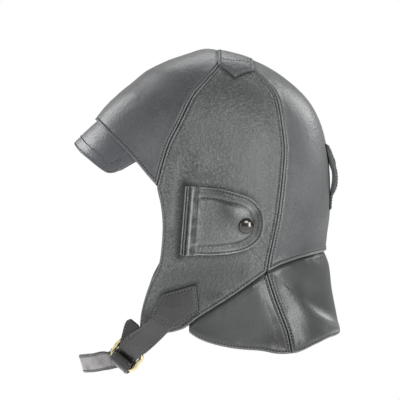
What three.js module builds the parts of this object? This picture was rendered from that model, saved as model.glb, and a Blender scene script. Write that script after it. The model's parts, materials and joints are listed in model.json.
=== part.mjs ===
import * as THREE from 'three'

// Leather motoring helmet, all sizes in mm. The wearer looks toward -Y and +X is the wearer's left.
// The origin is the inner top of the crown, where the head that wears the helmet holds it up.

const leather = { wall: 2.2, strap: 2.0, visor: 2.2, seamGap: 0.74, layerGap: 0.8 }

// level sections of the outer surface: drop below the outer top, y of the front and of the back,
// half the width, and the power of the oval, where 2 is an ellipse and more is squarer
const sections = [
  { drop: 0, front: -2.7, back: -2.7, half: 0, power: 2.0 },
  { drop: 1.4, front: -11, back: 7.2, half: 15.5, power: 2.05 },
  { drop: 4.5, front: -19.9, back: 19.8, half: 29, power: 2.1 },
  { drop: 10.8, front: -37.8, back: 39.6, half: 45, power: 2.15 },
  { drop: 19.8, front: -56.5, back: 57.3, half: 58, power: 2.2 },
  { drop: 31.5, front: -71, back: 73, half: 68, power: 2.25 },
  { drop: 45, front: -86.9, back: 86.6, half: 75.5, power: 2.3 },
  { drop: 61.2, front: -100.9, back: 96.4, half: 80.5, power: 2.3 },
  { drop: 81, front: -109.4, back: 102.6, half: 83.5, power: 2.3 },
  { drop: 103.5, front: -112.5, back: 106.3, half: 85, power: 2.3 },
  { drop: 126.1, front: -112.5, back: 107.3, half: 85.5, power: 2.3 },
  { drop: 148.6, front: -110.7, back: 106.8, half: 85, power: 2.3 },
  { drop: 171.1, front: -107.1, back: 103.8, half: 83.5, power: 2.3 },
  { drop: 181.9, front: -104.4, back: 103.5, half: 82.5, power: 2.3 },
  { drop: 193.5, front: -101.7, back: 106.9, half: 81.5, power: 2.3 },
  { drop: 216, front: -95.4, back: 109.6, half: 80.5, power: 2.3 },
  { drop: 238.6, front: -88.2, back: 113.9, half: 80, power: 2.3 },
  { drop: 253.9, front: -82.8, back: 117, half: 80.5, power: 2.3 },
  { drop: 274.5, front: -77.4, back: 120.6, half: 81, power: 2.3 },
]

// seams and edges on the left side, seen from the side: y and z of each point, x follows the surface
const apex = { y: 22.5 }
const frontSeam = [
  { y: 7.1, z: -15.2 },
  { y: -3.8, z: -27.2 },
  { y: -14.6, z: -40 },
  { y: -25.4, z: -61.6 },
  { y: -36.1, z: -83 },
  { y: -46.5, z: -118.6 },
]
const backSeam = [
  { y: 38.4, z: -18.4 },
  { y: 53.9, z: -35.2 },
  { y: 61.2, z: -61.6 },
  { y: 63.9, z: -87.9 },
  { y: 62, z: -113.6 },
  { y: 56.5, z: -154.1 },
  { y: 48.6, z: -193.3 },
]
const browSeam = [
  { y: -55.3, z: -108.8 },
  { y: -64.7, z: -97.7 },
  { y: -78.6, z: -83.3 },
  { y: -92.6, z: -69.9 },
  { y: -99.4, z: -63.8 },
]
const browMiddle = { y: -102, z: -62.2 }
const faceEdge = [
  { y: -46.5, z: -120 },
  { y: -43, z: -136.2 },
  { y: -41.6, z: -156.4 },
  { y: -45.1, z: -187.6 },
  { y: -53.7, z: -205.7 },
  { y: -60.6, z: -228.7 },
  { y: -62.2, z: -242.9 },
]
const flapHem = [
  { y: -62.2, z: -242.9 },
  { y: -50.9, z: -246.3 },
  { y: -36.9, z: -246.6 },
  { y: -23, z: -242.5 },
]
const curtainSeam = [
  { y: -23, z: -242.5 },
  { y: -9, z: -232 },
  { y: 13.9, z: -217.4 },
  { y: 37.1, z: -201.3 },
  { y: 48.6, z: -193.3 },
  { y: 61.9, z: -187.2 },
  { y: 80.1, z: -181.8 },
  { y: 96.8, z: -179 },
]
const curtainMiddle = { y: 103.4, z: -177.6 }
const curtainJoint = 48.6
const curtainHem = [
  { y: -23, z: -242.5 },
  { y: -11.4, z: -250.6 },
  { y: 13.4, z: -258.3 },
  { y: 43.3, z: -261.5 },
  { y: 58.3, z: -264.3 },
  { y: 73.4, z: -264.2 },
  { y: 92, z: -257.7 },
  { y: 107.5, z: -252.7 },
]
const hemMiddle = { y: 117, z: -250.1 }
const curtainCorner = 70.7
const curtainCrossSeam = [
  { y: 48.6, z: -193.3 },
  { y: 55.1, z: -214.2 },
  { y: 60.2, z: -228.2 },
  { y: 66.2, z: -243.9 },
  { y: 70.7, z: -264.3 },
]

// soft folds that stand out of the surface: a line seen from the side, half width and height
const folds = [
  { fromY: -8, fromZ: -96.8, toY: -30, toZ: -174.4, width: 9, height: 1.6 },
  { fromY: 45.9, fromZ: -208.8, toY: 59.7, toZ: -253.2, width: 8, height: 2.2 },
  { fromY: 65.8, fromZ: -208.3, toY: 87.6, toZ: -254.3, width: 9, height: 2.4 },
  { fromY: 83.8, fromZ: -209.6, toY: 106, toZ: -229, width: 7, height: 2.2 },
]

// visor: x, y and z of its free edge from the middle to the corner
const visorEdge = [
  { x: 0, y: -122.8, z: -81.6 },
  { x: 25, y: -116.8, z: -88.8 },
  { x: 42, y: -107.3, z: -96.2 },
  { x: 53, y: -97.9, z: -103.4 },
  { x: 61, y: -87, z: -110.4 },
]
const visor = { sink: 1, endTrim: 0.01, cornerStart: 0.72, cornerCut: 0.045 }

// pieces that lie on the surface, each an outline seen from the side
const earCover = {
  outline: [
    { y: -21.5, z: -118.4 },
    { y: -6, z: -119 },
    { y: 9, z: -120.5 },
    { y: 19, z: -123.1 },
    { y: 31.4, z: -127.4 },
    { y: 38.9, z: -132.9 },
    { y: 43.9, z: -140.9 },
    { y: 45.6, z: -152.3 },
    { y: 42.3, z: -163.9 },
    { y: 35, z: -171.2 },
    { y: 24, z: -175.7 },
    { y: 4.1, z: -178.3 },
    { y: -11, z: -178.3 },
    { y: -26, z: -177.9 },
    { y: -24.5, z: -158.6 },
    { y: -23, z: -138.7 },
  ],
  middle: { y: 10, z: -149.2 },
  wall: 2.4,
  roll: 3.2,
  rollY: -19,
  rollWidth: 5,
}
const earSnap = { y: 29.4, z: -152.2, radius: 6.8, height: 3 }
const strapPatch = {
  outline: [
    { y: -41.2, z: -211.6 },
    { y: -26, z: -207.1 },
    { y: -12, z: -203.2 },
    { y: -10, z: -215.9 },
    { y: -9.4, z: -227.7 },
    { y: -19.5, z: -235.1 },
    { y: -29.3, z: -242.1 },
    { y: -39.9, z: -236.9 },
    { y: -50.1, z: -231.3 },
    { y: -45.9, z: -221.4 },
  ],
  middle: { y: -29.9, z: -222.7 },
  wall: 1.8,
  lift: 3.4,
}

// patch over the top of the crown, seen from above: half its length at the point and at the shoulders,
// y of its point and of its edges
const crownPatch = {
  tipX: 62.6,
  tipY: 21,
  shoulderFront: 53,
  shoulderBack: 48.5,
  front: 7,
  back: 38.2,
  rows: 14,
  gap: 0.6,
  wall: 1.2,
}

// straps, each row the two edges of the strap: up is the upper edge and low the lower edge
const buckleStrap = [
  { upX: 74.2, upY: -43.8, upZ: -227.7, lowX: 78.2, lowY: -28, lowZ: -238.3 },
  { upX: 70.6, upY: -50.4, upZ: -233.4, lowX: 75.8, lowY: -34.6, lowZ: -243.6 },
  { upX: 63.8, upY: -60.2, upZ: -242.1, lowX: 70.9, lowY: -43.4, lowZ: -252.7 },
  { upX: 57.5, upY: -67.7, upZ: -247.5, lowX: 64, lowY: -54.8, lowZ: -263.6 },
  { upX: 52, upY: -74.7, upZ: -252.9, lowX: 57.5, lowY: -61.7, lowZ: -269.1 },
]

// bar of the buckle, its ends and the way out of the strap there; the rows that follow are measured
// from its middle: along the strap past the bar, across it toward the lower end, and outward
const bar = {
  up: { x: 42, y: -85.6, z: -269.3 },
  low: { x: 48, y: -71.3, z: -280.4 },
  out: { x: 0.823, y: -0.546, z: -0.16 },
}
const strapFold = [
  { along: -12, across: 1.2, out: -0.4, half: 10.2 },
  { along: -6.5, across: 0.6, out: -2.8, half: 10.2 },
  { along: 0, across: 0.4, out: -3.9, half: 10.2 },
  { along: 3.2, across: 0.4, out: -2.7, half: 10.2 },
  { along: 4.2, across: 0.4, out: 0, half: 10.2 },
  { along: 3.2, across: 0.4, out: 2.8, half: 10.2 },
  { along: 0, across: 0.4, out: 4, half: 10.2 },
  { along: -4, across: 0.4, out: 3.6, half: 10.2 },
  { along: -7.5, across: 0.4, out: 2.8, half: 10.2 },
]
const chinStrap = [
  { upX: -74.2, upY: -43.8, upZ: -227.7, lowX: -78.2, lowY: -28, lowZ: -238.3 },
  { upX: -70.6, upY: -50.4, upZ: -233.4, lowX: -75.8, lowY: -34.6, lowZ: -243.6 },
  { upX: -65, upY: -60.3, upZ: -244.8, lowX: -69, lowY: -47.9, lowZ: -255.9 },
  { upX: -55, upY: -72.8, upZ: -262.5, lowX: -57, lowY: -61.8, lowZ: -274.9 },
  { upX: -46, upY: -85.1, upZ: -270.9, lowX: -47, lowY: -75.7, lowZ: -284.9 },
  { upX: -36, upY: -96.6, upZ: -273.7, lowX: -36, lowY: -91.2, lowZ: -289.5 },
  { upX: -24, upY: -107.4, upZ: -273.4, lowX: -24, lowY: -102.9, lowZ: -289.4 },
  { upX: 0, upY: -117.1, upZ: -272.2, lowX: 0, lowY: -112.6, lowZ: -288.4 },
  { upX: 14, upY: -114.4, upZ: -270.7, lowX: 14, lowY: -109.1, lowZ: -287 },
  { upX: 26, upY: -105.1, upZ: -268.7, lowX: 27, lowY: -100, lowZ: -284.9 },
  { upX: 33.5, upY: -95.1, upZ: -266.1, lowX: 35, lowY: -89.6, lowZ: -282 },
]
const strapTail = [
  { along: 0, across: -2.5, out: -6.6, half: 8.5 },
  { along: -6.5, across: -2.5, out: -5.6, half: 8.5 },
  { along: -12, across: -2.7, out: -3.9, half: 8.5 },
  { along: -16, across: -3.4, out: -3.4, half: 8.5 },
  { along: -22, across: -5.4, out: -4, half: 8.5 },
  { along: -29, across: -8.2, out: -5.2, half: 8.3 },
  { along: -34, across: -10.4, out: -6.1, half: 6.6 },
  { along: -37, across: -12, out: -6.6, half: 3.4 },
]

// buckle: brass wire bent to a frame round the bar, in the same directions
const buckle = { frontAlong: 0, frontOut: 0, backAlong: -15.5, backOut: -6.2, halfAcross: 12.8, wire: 1.3 }

// tab at the middle of the back, from its free end down to where it is sewn on: y of both its faces
const goggleTab = [
  { z: -82.4, inner: 103.7, outer: 105.3 },
  { z: -86.2, inner: 104.4, outer: 107.4 },
  { z: -92.1, inner: 105.6, outer: 109.6 },
  { z: -98.2, inner: 107, outer: 110.7 },
  { z: -103.1, inner: 108.9, outer: 112.4 },
  { z: -107.2, inner: 110.1, outer: 113.4 },
  { z: -113.9, inner: 110.5, outer: 114 },
  { z: -120.7, inner: 109.6, outer: 113.2 },
  { z: -125.2, inner: 108.6, outer: 111.5 },
  { z: -128.6, inner: 107.9, outer: 109.8 },
  { z: -133.5, inner: 107.75, outer: 109 },
  { z: -141.3, inner: 107.6, outer: 108.7 },
]
const goggleTabWidth = 24
const goggleSnap = { y: 111.35, z: -98.2, outY: 0.969, outZ: 0.247, radius: 5.2, height: 1.6 }

const core = new THREE.Vector3(0, 0, -120)

function smoothColumn(rows, column) {
  const knots = rows.map((row) => Math.sqrt(row.drop))
  const values = rows.map((row) => row[column])
  const slopes = values.map((value, i) => {
    const before = Math.max(i - 1, 0)
    const after = Math.min(i + 1, values.length - 1)
    return (values[after] - values[before]) / (knots[after] - knots[before])
  })
  return (knot) => {
    let i = 0
    while (i < knots.length - 2 && knot > knots[i + 1]) i += 1
    const step = knots[i + 1] - knots[i]
    const t = Math.min(Math.max((knot - knots[i]) / step, 0), 1)
    const square = t * t
    const cube = square * t
    return (2 * cube - 3 * square + 1) * values[i]
      + (cube - 2 * square + t) * step * slopes[i]
      + (3 * square - 2 * cube) * values[i + 1]
      + (cube - square) * step * slopes[i + 1]
  }
}

const frontAt = smoothColumn(sections, 'front')
const backAt = smoothColumn(sections, 'back')
const halfAt = smoothColumn(sections, 'half')
const powerAt = smoothColumn(sections, 'power')

function ovalAt(z) {
  const knot = Math.sqrt(Math.max(leather.wall - z, 1e-6))
  const front = frontAt(knot)
  const back = backAt(knot)
  return {
    middle: (front + back) / 2,
    reach: Math.max((back - front) / 2, 0.001),
    half: Math.max(halfAt(knot), 0.001),
    power: powerAt(knot),
  }
}

// below zero inside the smooth surface, above zero outside
function sideOf(x, y, z) {
  if (z >= leather.wall) return 1
  const oval = ovalAt(z)
  const across = (Math.abs(x) / oval.half) ** oval.power
  const along = (Math.abs(y - oval.middle) / oval.reach) ** oval.power
  return across + along - 1
}

function slopeAt(p) {
  const step = 0.05
  return new THREE.Vector3(
    sideOf(p.x + step, p.y, p.z) - sideOf(p.x - step, p.y, p.z),
    sideOf(p.x, p.y + step, p.z) - sideOf(p.x, p.y - step, p.z),
    sideOf(p.x, p.y, p.z + step) - sideOf(p.x, p.y, p.z - step),
  ).normalize()
}

function foldHeight(y, z) {
  let height = 0
  for (const fold of folds) {
    const runY = fold.toY - fold.fromY
    const runZ = fold.toZ - fold.fromZ
    const share = ((y - fold.fromY) * runY + (z - fold.fromZ) * runZ) / (runY * runY + runZ * runZ)
    const near = Math.min(Math.max(share, 0), 1)
    const away = Math.hypot(y - fold.fromY - near * runY, z - fold.fromZ - near * runZ)
    height += fold.height * Math.exp(-((away / fold.width) ** 2))
  }
  return height
}

// the point of the folded surface that lies the same way from the core as the given point
function onSurface(point) {
  const way = point.clone().sub(core).normalize()
  let near = 5
  let far = 260
  for (let i = 0; i < 40; i += 1) {
    const middle = (near + far) / 2
    const p = core.clone().addScaledVector(way, middle)
    if (sideOf(p.x, p.y, p.z) < 0) near = middle
    else far = middle
  }
  const p = core.clone().addScaledVector(way, near)
  return p.addScaledVector(slopeAt(p), foldHeight(p.y, p.z))
}

function sidePoint(y, z) {
  const oval = ovalAt(z)
  const share = Math.min(Math.abs(y - oval.middle) / oval.reach, 1)
  return new THREE.Vector3(oval.half * (1 - share ** oval.power) ** (1 / oval.power), y, z)
}

function overSurface(y, z, height) {
  const p = sidePoint(y, z)
  return p.addScaledVector(slopeAt(p), foldHeight(y, z) + height)
}

function topPoint(x, y) {
  let low = -80
  let high = leather.wall
  for (let i = 0; i < 40; i += 1) {
    const middle = (low + high) / 2
    if (sideOf(x, y, middle) < 0) low = middle
    else high = middle
  }
  return new THREE.Vector3(x, y, low)
}

const vectorOf = (row) => new THREE.Vector3(row.x, row.y, row.z)
const mirrored = (p) => new THREE.Vector3(-p.x, p.y, p.z)
const lifted = (rows) => rows.map((row) => sidePoint(row.y, row.z))

// evenly spaced points of a smooth curve through the given ones, laid on the surface
function laid(points, count, from = 0, to = 1) {
  const curve = new THREE.CatmullRomCurve3(points, false, 'centripetal')
  const spaced = []
  for (let i = 0; i <= count; i += 1) {
    spaced.push(onSurface(curve.getPointAt(from + (to - from) * (i / count))))
  }
  return spaced
}

// evenly spaced points along a chain of points, corners kept as near as the spacing allows
function spread(points, count) {
  const lengths = [0]
  for (let i = 1; i < points.length; i += 1) {
    lengths.push(lengths[i - 1] + points[i].distanceTo(points[i - 1]))
  }
  const total = lengths[lengths.length - 1]
  const spaced = []
  for (let i = 0, at = 0; i <= count; i += 1) {
    const want = total * (i / count)
    while (at < points.length - 2 && lengths[at + 1] < want) at += 1
    const share = (want - lengths[at]) / (lengths[at + 1] - lengths[at])
    spaced.push(points[at].clone().lerp(points[at + 1], share))
  }
  return spaced
}

// grid of points between four edges, each edge from its start to its end: the sides run down
function blend(top, bottom, left, right) {
  const rows = left.length - 1
  const columns = bottom.length - 1
  const grid = []
  for (let i = 0; i <= rows; i += 1) {
    const t = i / rows
    const line = []
    for (let j = 0; j <= columns; j += 1) {
      const s = j / columns
      const p = new THREE.Vector3()
      p.addScaledVector(left[i], 1 - s).addScaledVector(right[i], s)
      p.addScaledVector(top[j], 1 - t).addScaledVector(bottom[j], t)
      p.addScaledVector(top[0], -(1 - s) * (1 - t)).addScaledVector(top[columns], -s * (1 - t))
      p.addScaledVector(bottom[0], -(1 - s) * t).addScaledVector(bottom[columns], -s * t)
      line.push(p)
    }
    grid.push(line)
  }
  return grid
}

function nudge(from, to, distance) {
  return from.add(to.clone().sub(from).setLength(distance))
}

// half a seam gap off every side of a grid, so that neighbours stay clear of each other
function inset(grid) {
  const half = leather.seamGap / 2
  const last = grid.length - 1
  const end = grid[0].length - 1
  for (const line of grid) {
    nudge(line[0], line[1], half)
    nudge(line[end], line[end - 1], half)
  }
  for (let j = 0; j <= end; j += 1) {
    nudge(grid[0][j], grid[1][j], half)
    nudge(grid[last][j], grid[last - 1][j], half)
  }
  return grid
}

// closed body between two grids of the same size, its faces turned outward
function solidBetween(outer, inner) {
  const rows = outer.length - 1
  const columns = outer[0].length - 1
  const triangles = []
  const quad = (a, b, c, d) => {
    triangles.push([a, b, c], [a, c, d])
  }
  for (let i = 0; i < rows; i += 1) {
    for (let j = 0; j < columns; j += 1) {
      quad(outer[i][j], outer[i + 1][j], outer[i + 1][j + 1], outer[i][j + 1])
      quad(inner[i][j], inner[i][j + 1], inner[i + 1][j + 1], inner[i + 1][j])
    }
    quad(outer[i][0], inner[i][0], inner[i + 1][0], outer[i + 1][0])
    quad(outer[i][columns], outer[i + 1][columns], inner[i + 1][columns], inner[i][columns])
  }
  for (let j = 0; j < columns; j += 1) {
    quad(outer[0][j], outer[0][j + 1], inner[0][j + 1], inner[0][j])
    quad(outer[rows][j], inner[rows][j], inner[rows][j + 1], outer[rows][j + 1])
  }
  return triangles
}

function volumeOf(triangles) {
  let sum = 0
  for (const [a, b, c] of triangles) sum += a.dot(b.clone().cross(c))
  return sum / 6
}

function geometryOf(triangles) {
  const outward = volumeOf(triangles) > 0
  const positions = []
  for (const [a, b, c] of triangles) {
    const order = outward ? [a, b, c] : [a, c, b]
    const size = b.clone().sub(a).cross(c.clone().sub(a)).length()
    if (size < 1e-6) continue
    for (const p of order) positions.push(p.x, p.y, p.z)
  }
  const geometry = new THREE.BufferGeometry()
  geometry.setAttribute('position', new THREE.Float32BufferAttribute(positions, 3))
  geometry.computeVertexNormals()
  return geometry
}

const mirrorTriangles = (triangles) => triangles.map((t) => t.map(mirrored))

// leather panel: the grid laid on the surface is the outer face, the inner face is a wall deeper
function panel(grid, wall = leather.wall) {
  const outer = inset(grid.map((line) => line.map(onSurface)))
  const inner = outer.map((line) => line.map((p) => p.clone().addScaledVector(slopeAt(p), -wall)))
  return solidBetween(outer, inner)
}

const apexPoint = topPoint(0, apex.y)
const gore = { rows: 16, columns: 8, start: 0.06 }

function seamFromApex(rows, more = []) {
  const down = laid([apexPoint, ...lifted(rows)], 40)
  return spread([...down, ...more], 200)
}

function goreFrom(left, right, bottom) {
  const cut = (side) => {
    const first = Math.round(gore.start * 200)
    return spread(side.slice(first), gore.rows)
  }
  const leftCut = cut(left)
  const rightCut = cut(right)
  const top = spread([leftCut[0], rightCut[0]], gore.columns)
  return panel(blend(top, spread(bottom, gore.columns), leftCut, rightCut))
}

function crownPanels() {
  const browPoint = sidePoint(browMiddle.y, browMiddle.z)
  browPoint.x = 0
  const middleFront = []
  for (let i = 0; i <= 40; i += 1) {
    const y = apex.y + (browMiddle.y - apex.y) * (i / 40)
    middleFront.push(topPoint(0, y))
  }
  const front = seamFromApex(frontSeam)
  const brow = laid([browPoint, ...lifted([...browSeam].reverse()), front[200]], 60)
  const frontPanel = goreFrom(spread(middleFront, 200), front, brow)

  const face = laid([front[200], ...lifted(faceEdge)], 40)
  const hem = laid(lifted(flapHem), 20)
  const seamToJoint = laid(lifted(curtainSeam.filter((row) => row.y <= curtainJoint)), 40)
  const back = seamFromApex(backSeam)
  const frontAndFace = seamFromApex(frontSeam, face.slice(1))
  const sidePanel = goreFrom(frontAndFace, back, [...hem, ...seamToJoint.slice(1)])

  const seamToMiddle = lifted(curtainSeam.filter((row) => row.y >= curtainJoint))
  const middlePoint = new THREE.Vector3(0, curtainMiddle.y, curtainMiddle.z)
  const around = [...seamToMiddle, middlePoint, mirrored(seamToMiddle[seamToMiddle.length - 1])]
  const curve = new THREE.CatmullRomCurve3(around, false, 'centripetal')
  const backBottom = []
  for (let i = 0; i <= 60; i += 1) {
    const p = curve.getPointAt(i / 60)
    if (p.x < 0) break
    backBottom.push(onSurface(p))
  }
  backBottom.push(onSurface(middlePoint))
  const middleBack = []
  for (let i = 0; i <= 60; i += 1) {
    const turn = (i / 60) ** 1.2
    const p = apexPoint.clone().lerp(middlePoint, turn)
    p.y += 60 * Math.sin(Math.PI * turn)
    middleBack.push(onSurface(p))
  }
  const backPanel = goreFrom(back, spread(middleBack, 200), backBottom)
  return { frontPanel, sidePanel, backPanel }
}

function curtainPanels() {
  const sideTop = laid(lifted(curtainSeam.filter((row) => row.y <= curtainJoint)), 60)
  const hemToCorner = curtainHem.filter((row) => row.y < curtainCorner)
  const sideHem = laid(lifted([...hemToCorner, curtainCrossSeam.at(-1)]), 60)
  const cross = laid(lifted(curtainCrossSeam), 60)
  const tip = 4
  const rows = 7
  const left = spread([sideTop[tip], sideHem[tip]], rows)
  const topCut = spread(sideTop.slice(tip), 14)
  const hemCut = spread(sideHem.slice(tip), 14)
  const sideGrid = blend(topCut, hemCut, left, spread(cross, rows))
  const curtainSide = panel(sideGrid)

  const upper = lifted(curtainSeam.filter((row) => row.y >= curtainJoint))
  upper.push(new THREE.Vector3(0, curtainMiddle.y, curtainMiddle.z))
  const lower = lifted([curtainCrossSeam.at(-1), ...curtainHem.filter((row) => row.y > curtainCorner)])
  lower.push(new THREE.Vector3(0, hemMiddle.y, hemMiddle.z))
  const round = (half) => [...half, ...half.slice(0, -1).reverse().map(mirrored)]
  const top = laid(round(upper), 24)
  const bottom = laid(round(lower), 24)
  const leftSide = spread(cross, rows)
  const curtainBack = panel(blend(top, bottom, leftSide, leftSide.map(mirrored)))
  return { curtainSide, curtainBack }
}

function visorSolid() {
  const base = lifted(browSeam.slice(1))
  const middle = new THREE.Vector3(0, browMiddle.y, browMiddle.z)
  const edge = visorEdge.map(vectorOf)
  const baseRow = laid([...base, middle, ...base.slice().reverse().map(mirrored)], 60)
  const baseLine = new THREE.CatmullRomCurve3(baseRow, false, 'centripetal')
  const freeRow = [...edge.slice(1).reverse(), ...edge.map(mirrored)]
  const freeLine = new THREE.CatmullRomCurve3(freeRow, false, 'centripetal')
  const pointAt = (s, t) => baseLine.getPointAt(s).lerp(freeLine.getPointAt(s), t)
  const normalAt = (s) => {
    const step = 0.05
    const near = Math.min(Math.max(s, step), 1 - step)
    const across = pointAt(near + step, 0.5).sub(pointAt(near - step, 0.5))
    const down = pointAt(near, 1).sub(pointAt(near, 0))
    const normal = across.cross(down).normalize()
    return normal.z < 0 ? normal.negate() : normal
  }
  const rows = 6
  const columns = 24
  const gridAt = (depth) => {
    const grid = []
    for (let i = 0; i <= rows; i += 1) {
      const t = i / rows
      const past = Math.max((t - visor.cornerStart) / (1 - visor.cornerStart), 0)
      const cut = visor.cornerCut * (1 - Math.sqrt(1 - past * past))
      const line = []
      for (let j = 0; j <= columns; j += 1) {
        const s = visor.endTrim + cut + (1 - 2 * (visor.endTrim + cut)) * (j / columns)
        const p = pointAt(s, leather.seamGap / 27 + t * (1 - leather.seamGap / 27))
        line.push(p.addScaledVector(normalAt(s), -depth))
      }
      grid.push(line)
    }
    return grid
  }
  return solidBetween(gridAt(visor.sink), gridAt(visor.sink + leather.visor))
}

// sheet on the surface inside a closed outline: rings of points drawn in toward its middle
function sheetOn(outline, middle, low, high, place, rings = 3) {
  const ringAt = (share, height) => outline.map((row) => {
    const a = middle.y + (row.y - middle.y) * share
    const b = middle.z + (row.z - middle.z) * share
    return place(a, b, height(a, b))
  })
  const triangles = []
  const faceOf = (height, turned) => {
    let outside = ringAt(1, height)
    for (let ring = 1; ring < rings; ring += 1) {
      const inside = ringAt(1 - ring / rings, height)
      outside.forEach((p, i) => {
        const k = (i + 1) % outline.length
        const fresh = [[p, outside[k], inside[k]], [p, inside[k], inside[i]]]
        for (const t of fresh) triangles.push(turned ? [t[0], t[2], t[1]] : t)
      })
      outside = inside
    }
    const centre = place(middle.y, middle.z, height(middle.y, middle.z))
    outside.forEach((p, i) => {
      const next = outside[(i + 1) % outline.length]
      triangles.push(turned ? [p, centre, next] : [p, next, centre])
    })
  }
  faceOf(high, false)
  faceOf(low, true)
  const upper = ringAt(1, high)
  const lower = ringAt(1, low)
  upper.forEach((p, i) => {
    const k = (i + 1) % outline.length
    triangles.push([p, lower[i], lower[k]], [p, lower[k], upper[k]])
  })
  return triangles
}

function roundOutline(outline, count) {
  const points = outline.map((row) => new THREE.Vector3(0, row.y, row.z))
  const closed = [...points, points[0]]
  return spread(closed, count).slice(0, -1).map((p) => ({ y: p.y, z: p.z }))
}

function earCoverSolid() {
  const low = () => leather.layerGap
  const high = (y) => {
    const roll = Math.exp(-(((y - earCover.rollY) / earCover.rollWidth) ** 2))
    return leather.layerGap + earCover.wall + earCover.roll * roll
  }
  return sheetOn(roundOutline(earCover.outline, 36), earCover.middle, low, high, overSurface, 4)
}

function strapPatchSolid() {
  const rise = (y, z) => {
    const down = Math.min(Math.max((-205 - z - 0.1 * (y + 30)) / 18, 0), 1)
    const aside = Math.min(Math.max((y + 16) / -8, 0), 1)
    return strapPatch.lift * down * aside
  }
  const low = (y, z) => leather.layerGap + rise(y, z)
  const high = (y, z) => low(y, z) + strapPatch.wall
  return sheetOn(roundOutline(strapPatch.outline, 30), strapPatch.middle, low, high, overSurface, 4)
}

function crownPatchSolid() {
  const { tipX, tipY, shoulderFront, shoulderBack, front, back, rows } = crownPatch
  const columns = 6
  const outerAt = (height) => {
    const grid = []
    for (let i = 0; i <= rows; i += 1) {
      const line = []
      for (let j = 0; j <= columns; j += 1) {
        const share = j / columns
        const y = front + (back - front) * share
        const point = 1 - Math.abs(y - tipY) / (y < tipY ? tipY - front : back - tipY)
        const shoulder = y < tipY ? shoulderFront : shoulderBack
        const reach = shoulder + (tipX - shoulder) * point
        const p = topPoint(reach * (1 - 2 * (i / rows)), y)
        line.push(p.addScaledVector(slopeAt(p), height))
      }
      grid.push(line)
    }
    return grid
  }
  return solidBetween(outerAt(crownPatch.gap + crownPatch.wall), outerAt(crownPatch.gap))
}

function edgesOf(rows) {
  const up = rows.map((row) => new THREE.Vector3(row.upX, row.upY, row.upZ))
  const low = rows.map((row) => new THREE.Vector3(row.lowX, row.lowY, row.lowZ))
  return { up, low }
}

// strap between two edges, its thickness laid evenly on both sides of them
function strapSolid(up, low, steps, thickness) {
  const upper = new THREE.CatmullRomCurve3(up, false, 'centripetal').getPoints(steps)
  const lower = new THREE.CatmullRomCurve3(low, false, 'centripetal').getPoints(steps)
  const faces = [[], []]
  for (let i = 0; i <= steps; i += 1) {
    const before = Math.max(i - 1, 0)
    const after = Math.min(i + 1, steps)
    const along = upper[after].clone().add(lower[after]).sub(upper[before]).sub(lower[before])
    const across = lower[i].clone().sub(upper[i])
    const out = along.cross(across).setLength(thickness / 2)
    const middle = upper[i].clone().lerp(lower[i], 0.5)
    const line = [upper[i], middle, lower[i]]
    faces[0].push(line.map((p) => p.clone().add(out)))
    faces[1].push(line.map((p) => p.clone().sub(out)))
  }
  return solidBetween(faces[0], faces[1])
}

// directions at the bar of the buckle: across it, out of the strap and along the strap past the bar
function barDirections() {
  const origin = vectorOf(bar.up).lerp(vectorOf(bar.low), 0.5)
  const across = vectorOf(bar.low).sub(vectorOf(bar.up)).normalize()
  const out = vectorOf(bar.out)
  out.addScaledVector(across, -out.dot(across)).normalize()
  const along = across.clone().cross(out).normalize()
  const place = (row, aside = 0) => origin.clone().addScaledVector(along, row.along)
    .addScaledVector(across, row.across + aside).addScaledVector(out, row.out)
  return { place }
}

function strapWithRows(strap, rows) {
  const { up, low } = edgesOf(strap)
  const { place } = barDirections()
  for (const row of rows) {
    up.push(place(row, -row.half))
    low.push(place(row, row.half))
  }
  return { up, low }
}

function buckleFrameSolid() {
  const { place } = barDirections()
  const corner = 3
  const at = (share, across) => place({
    along: buckle.frontAlong + (buckle.backAlong - buckle.frontAlong) * share,
    out: buckle.frontOut + (buckle.backOut - buckle.frontOut) * share,
    across,
  })
  const half = buckle.halfAcross
  const cut = corner / 16
  const points = [
    at(0, -half + corner), at(0, 0), at(0, half - corner),
    at(cut, half), at(0.5, half), at(1 - cut, half),
    at(1, half - corner), at(1, 0), at(1, -half + corner),
    at(1 - cut, -half), at(0.5, -half), at(cut, -half),
  ]
  const path = new THREE.CatmullRomCurve3(points, true, 'centripetal')
  return new THREE.TubeGeometry(path, 40, buckle.wire, 6, true)
}

function tabSolid() {
  const across = [0.5, 0.25, 0, -0.25, -0.5]
  const face = (side) => {
    const line = goggleTab.map((row) => new THREE.Vector3(0, row[side], row.z))
    const rows = new THREE.CatmullRomCurve3(line, false, 'centripetal').getPoints(22)
    return rows.map((p) => across.map((share) => new THREE.Vector3(share * goggleTabWidth, p.y, p.z)))
  }
  return solidBetween(face('outer'), face('inner'))
}

// low dome on a flat base, its axis along the given direction
function domeSolid(centre, axis, radius, height) {
  const profile = [
    new THREE.Vector2(0, 0),
    new THREE.Vector2(radius, 0),
    new THREE.Vector2(radius, 0.3 * height),
    new THREE.Vector2(0.8 * radius, 0.72 * height),
    new THREE.Vector2(0.45 * radius, 0.94 * height),
    new THREE.Vector2(0, height),
  ]
  const geometry = new THREE.LatheGeometry(profile, 14)
  const turn = new THREE.Quaternion().setFromUnitVectors(new THREE.Vector3(0, 1, 0), axis)
  geometry.applyQuaternion(turn)
  geometry.translate(centre.x, centre.y, centre.z)
  return geometry
}

function trianglesOf(geometry) {
  const flat = geometry.index ? geometry.toNonIndexed() : geometry
  const place = flat.getAttribute('position')
  const triangles = []
  for (let i = 0; i < place.count; i += 3) {
    triangles.push([0, 1, 2].map((k) => new THREE.Vector3().fromBufferAttribute(place, i + k)))
  }
  return triangles
}

function earSnapSolid() {
  const seat = overSurface(earSnap.y, earSnap.z, 0)
  const out = slopeAt(seat)
  const lift = leather.layerGap + earCover.wall + 0.9
  return trianglesOf(domeSolid(seat.addScaledVector(out, lift), out, earSnap.radius, earSnap.height))
}

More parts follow.
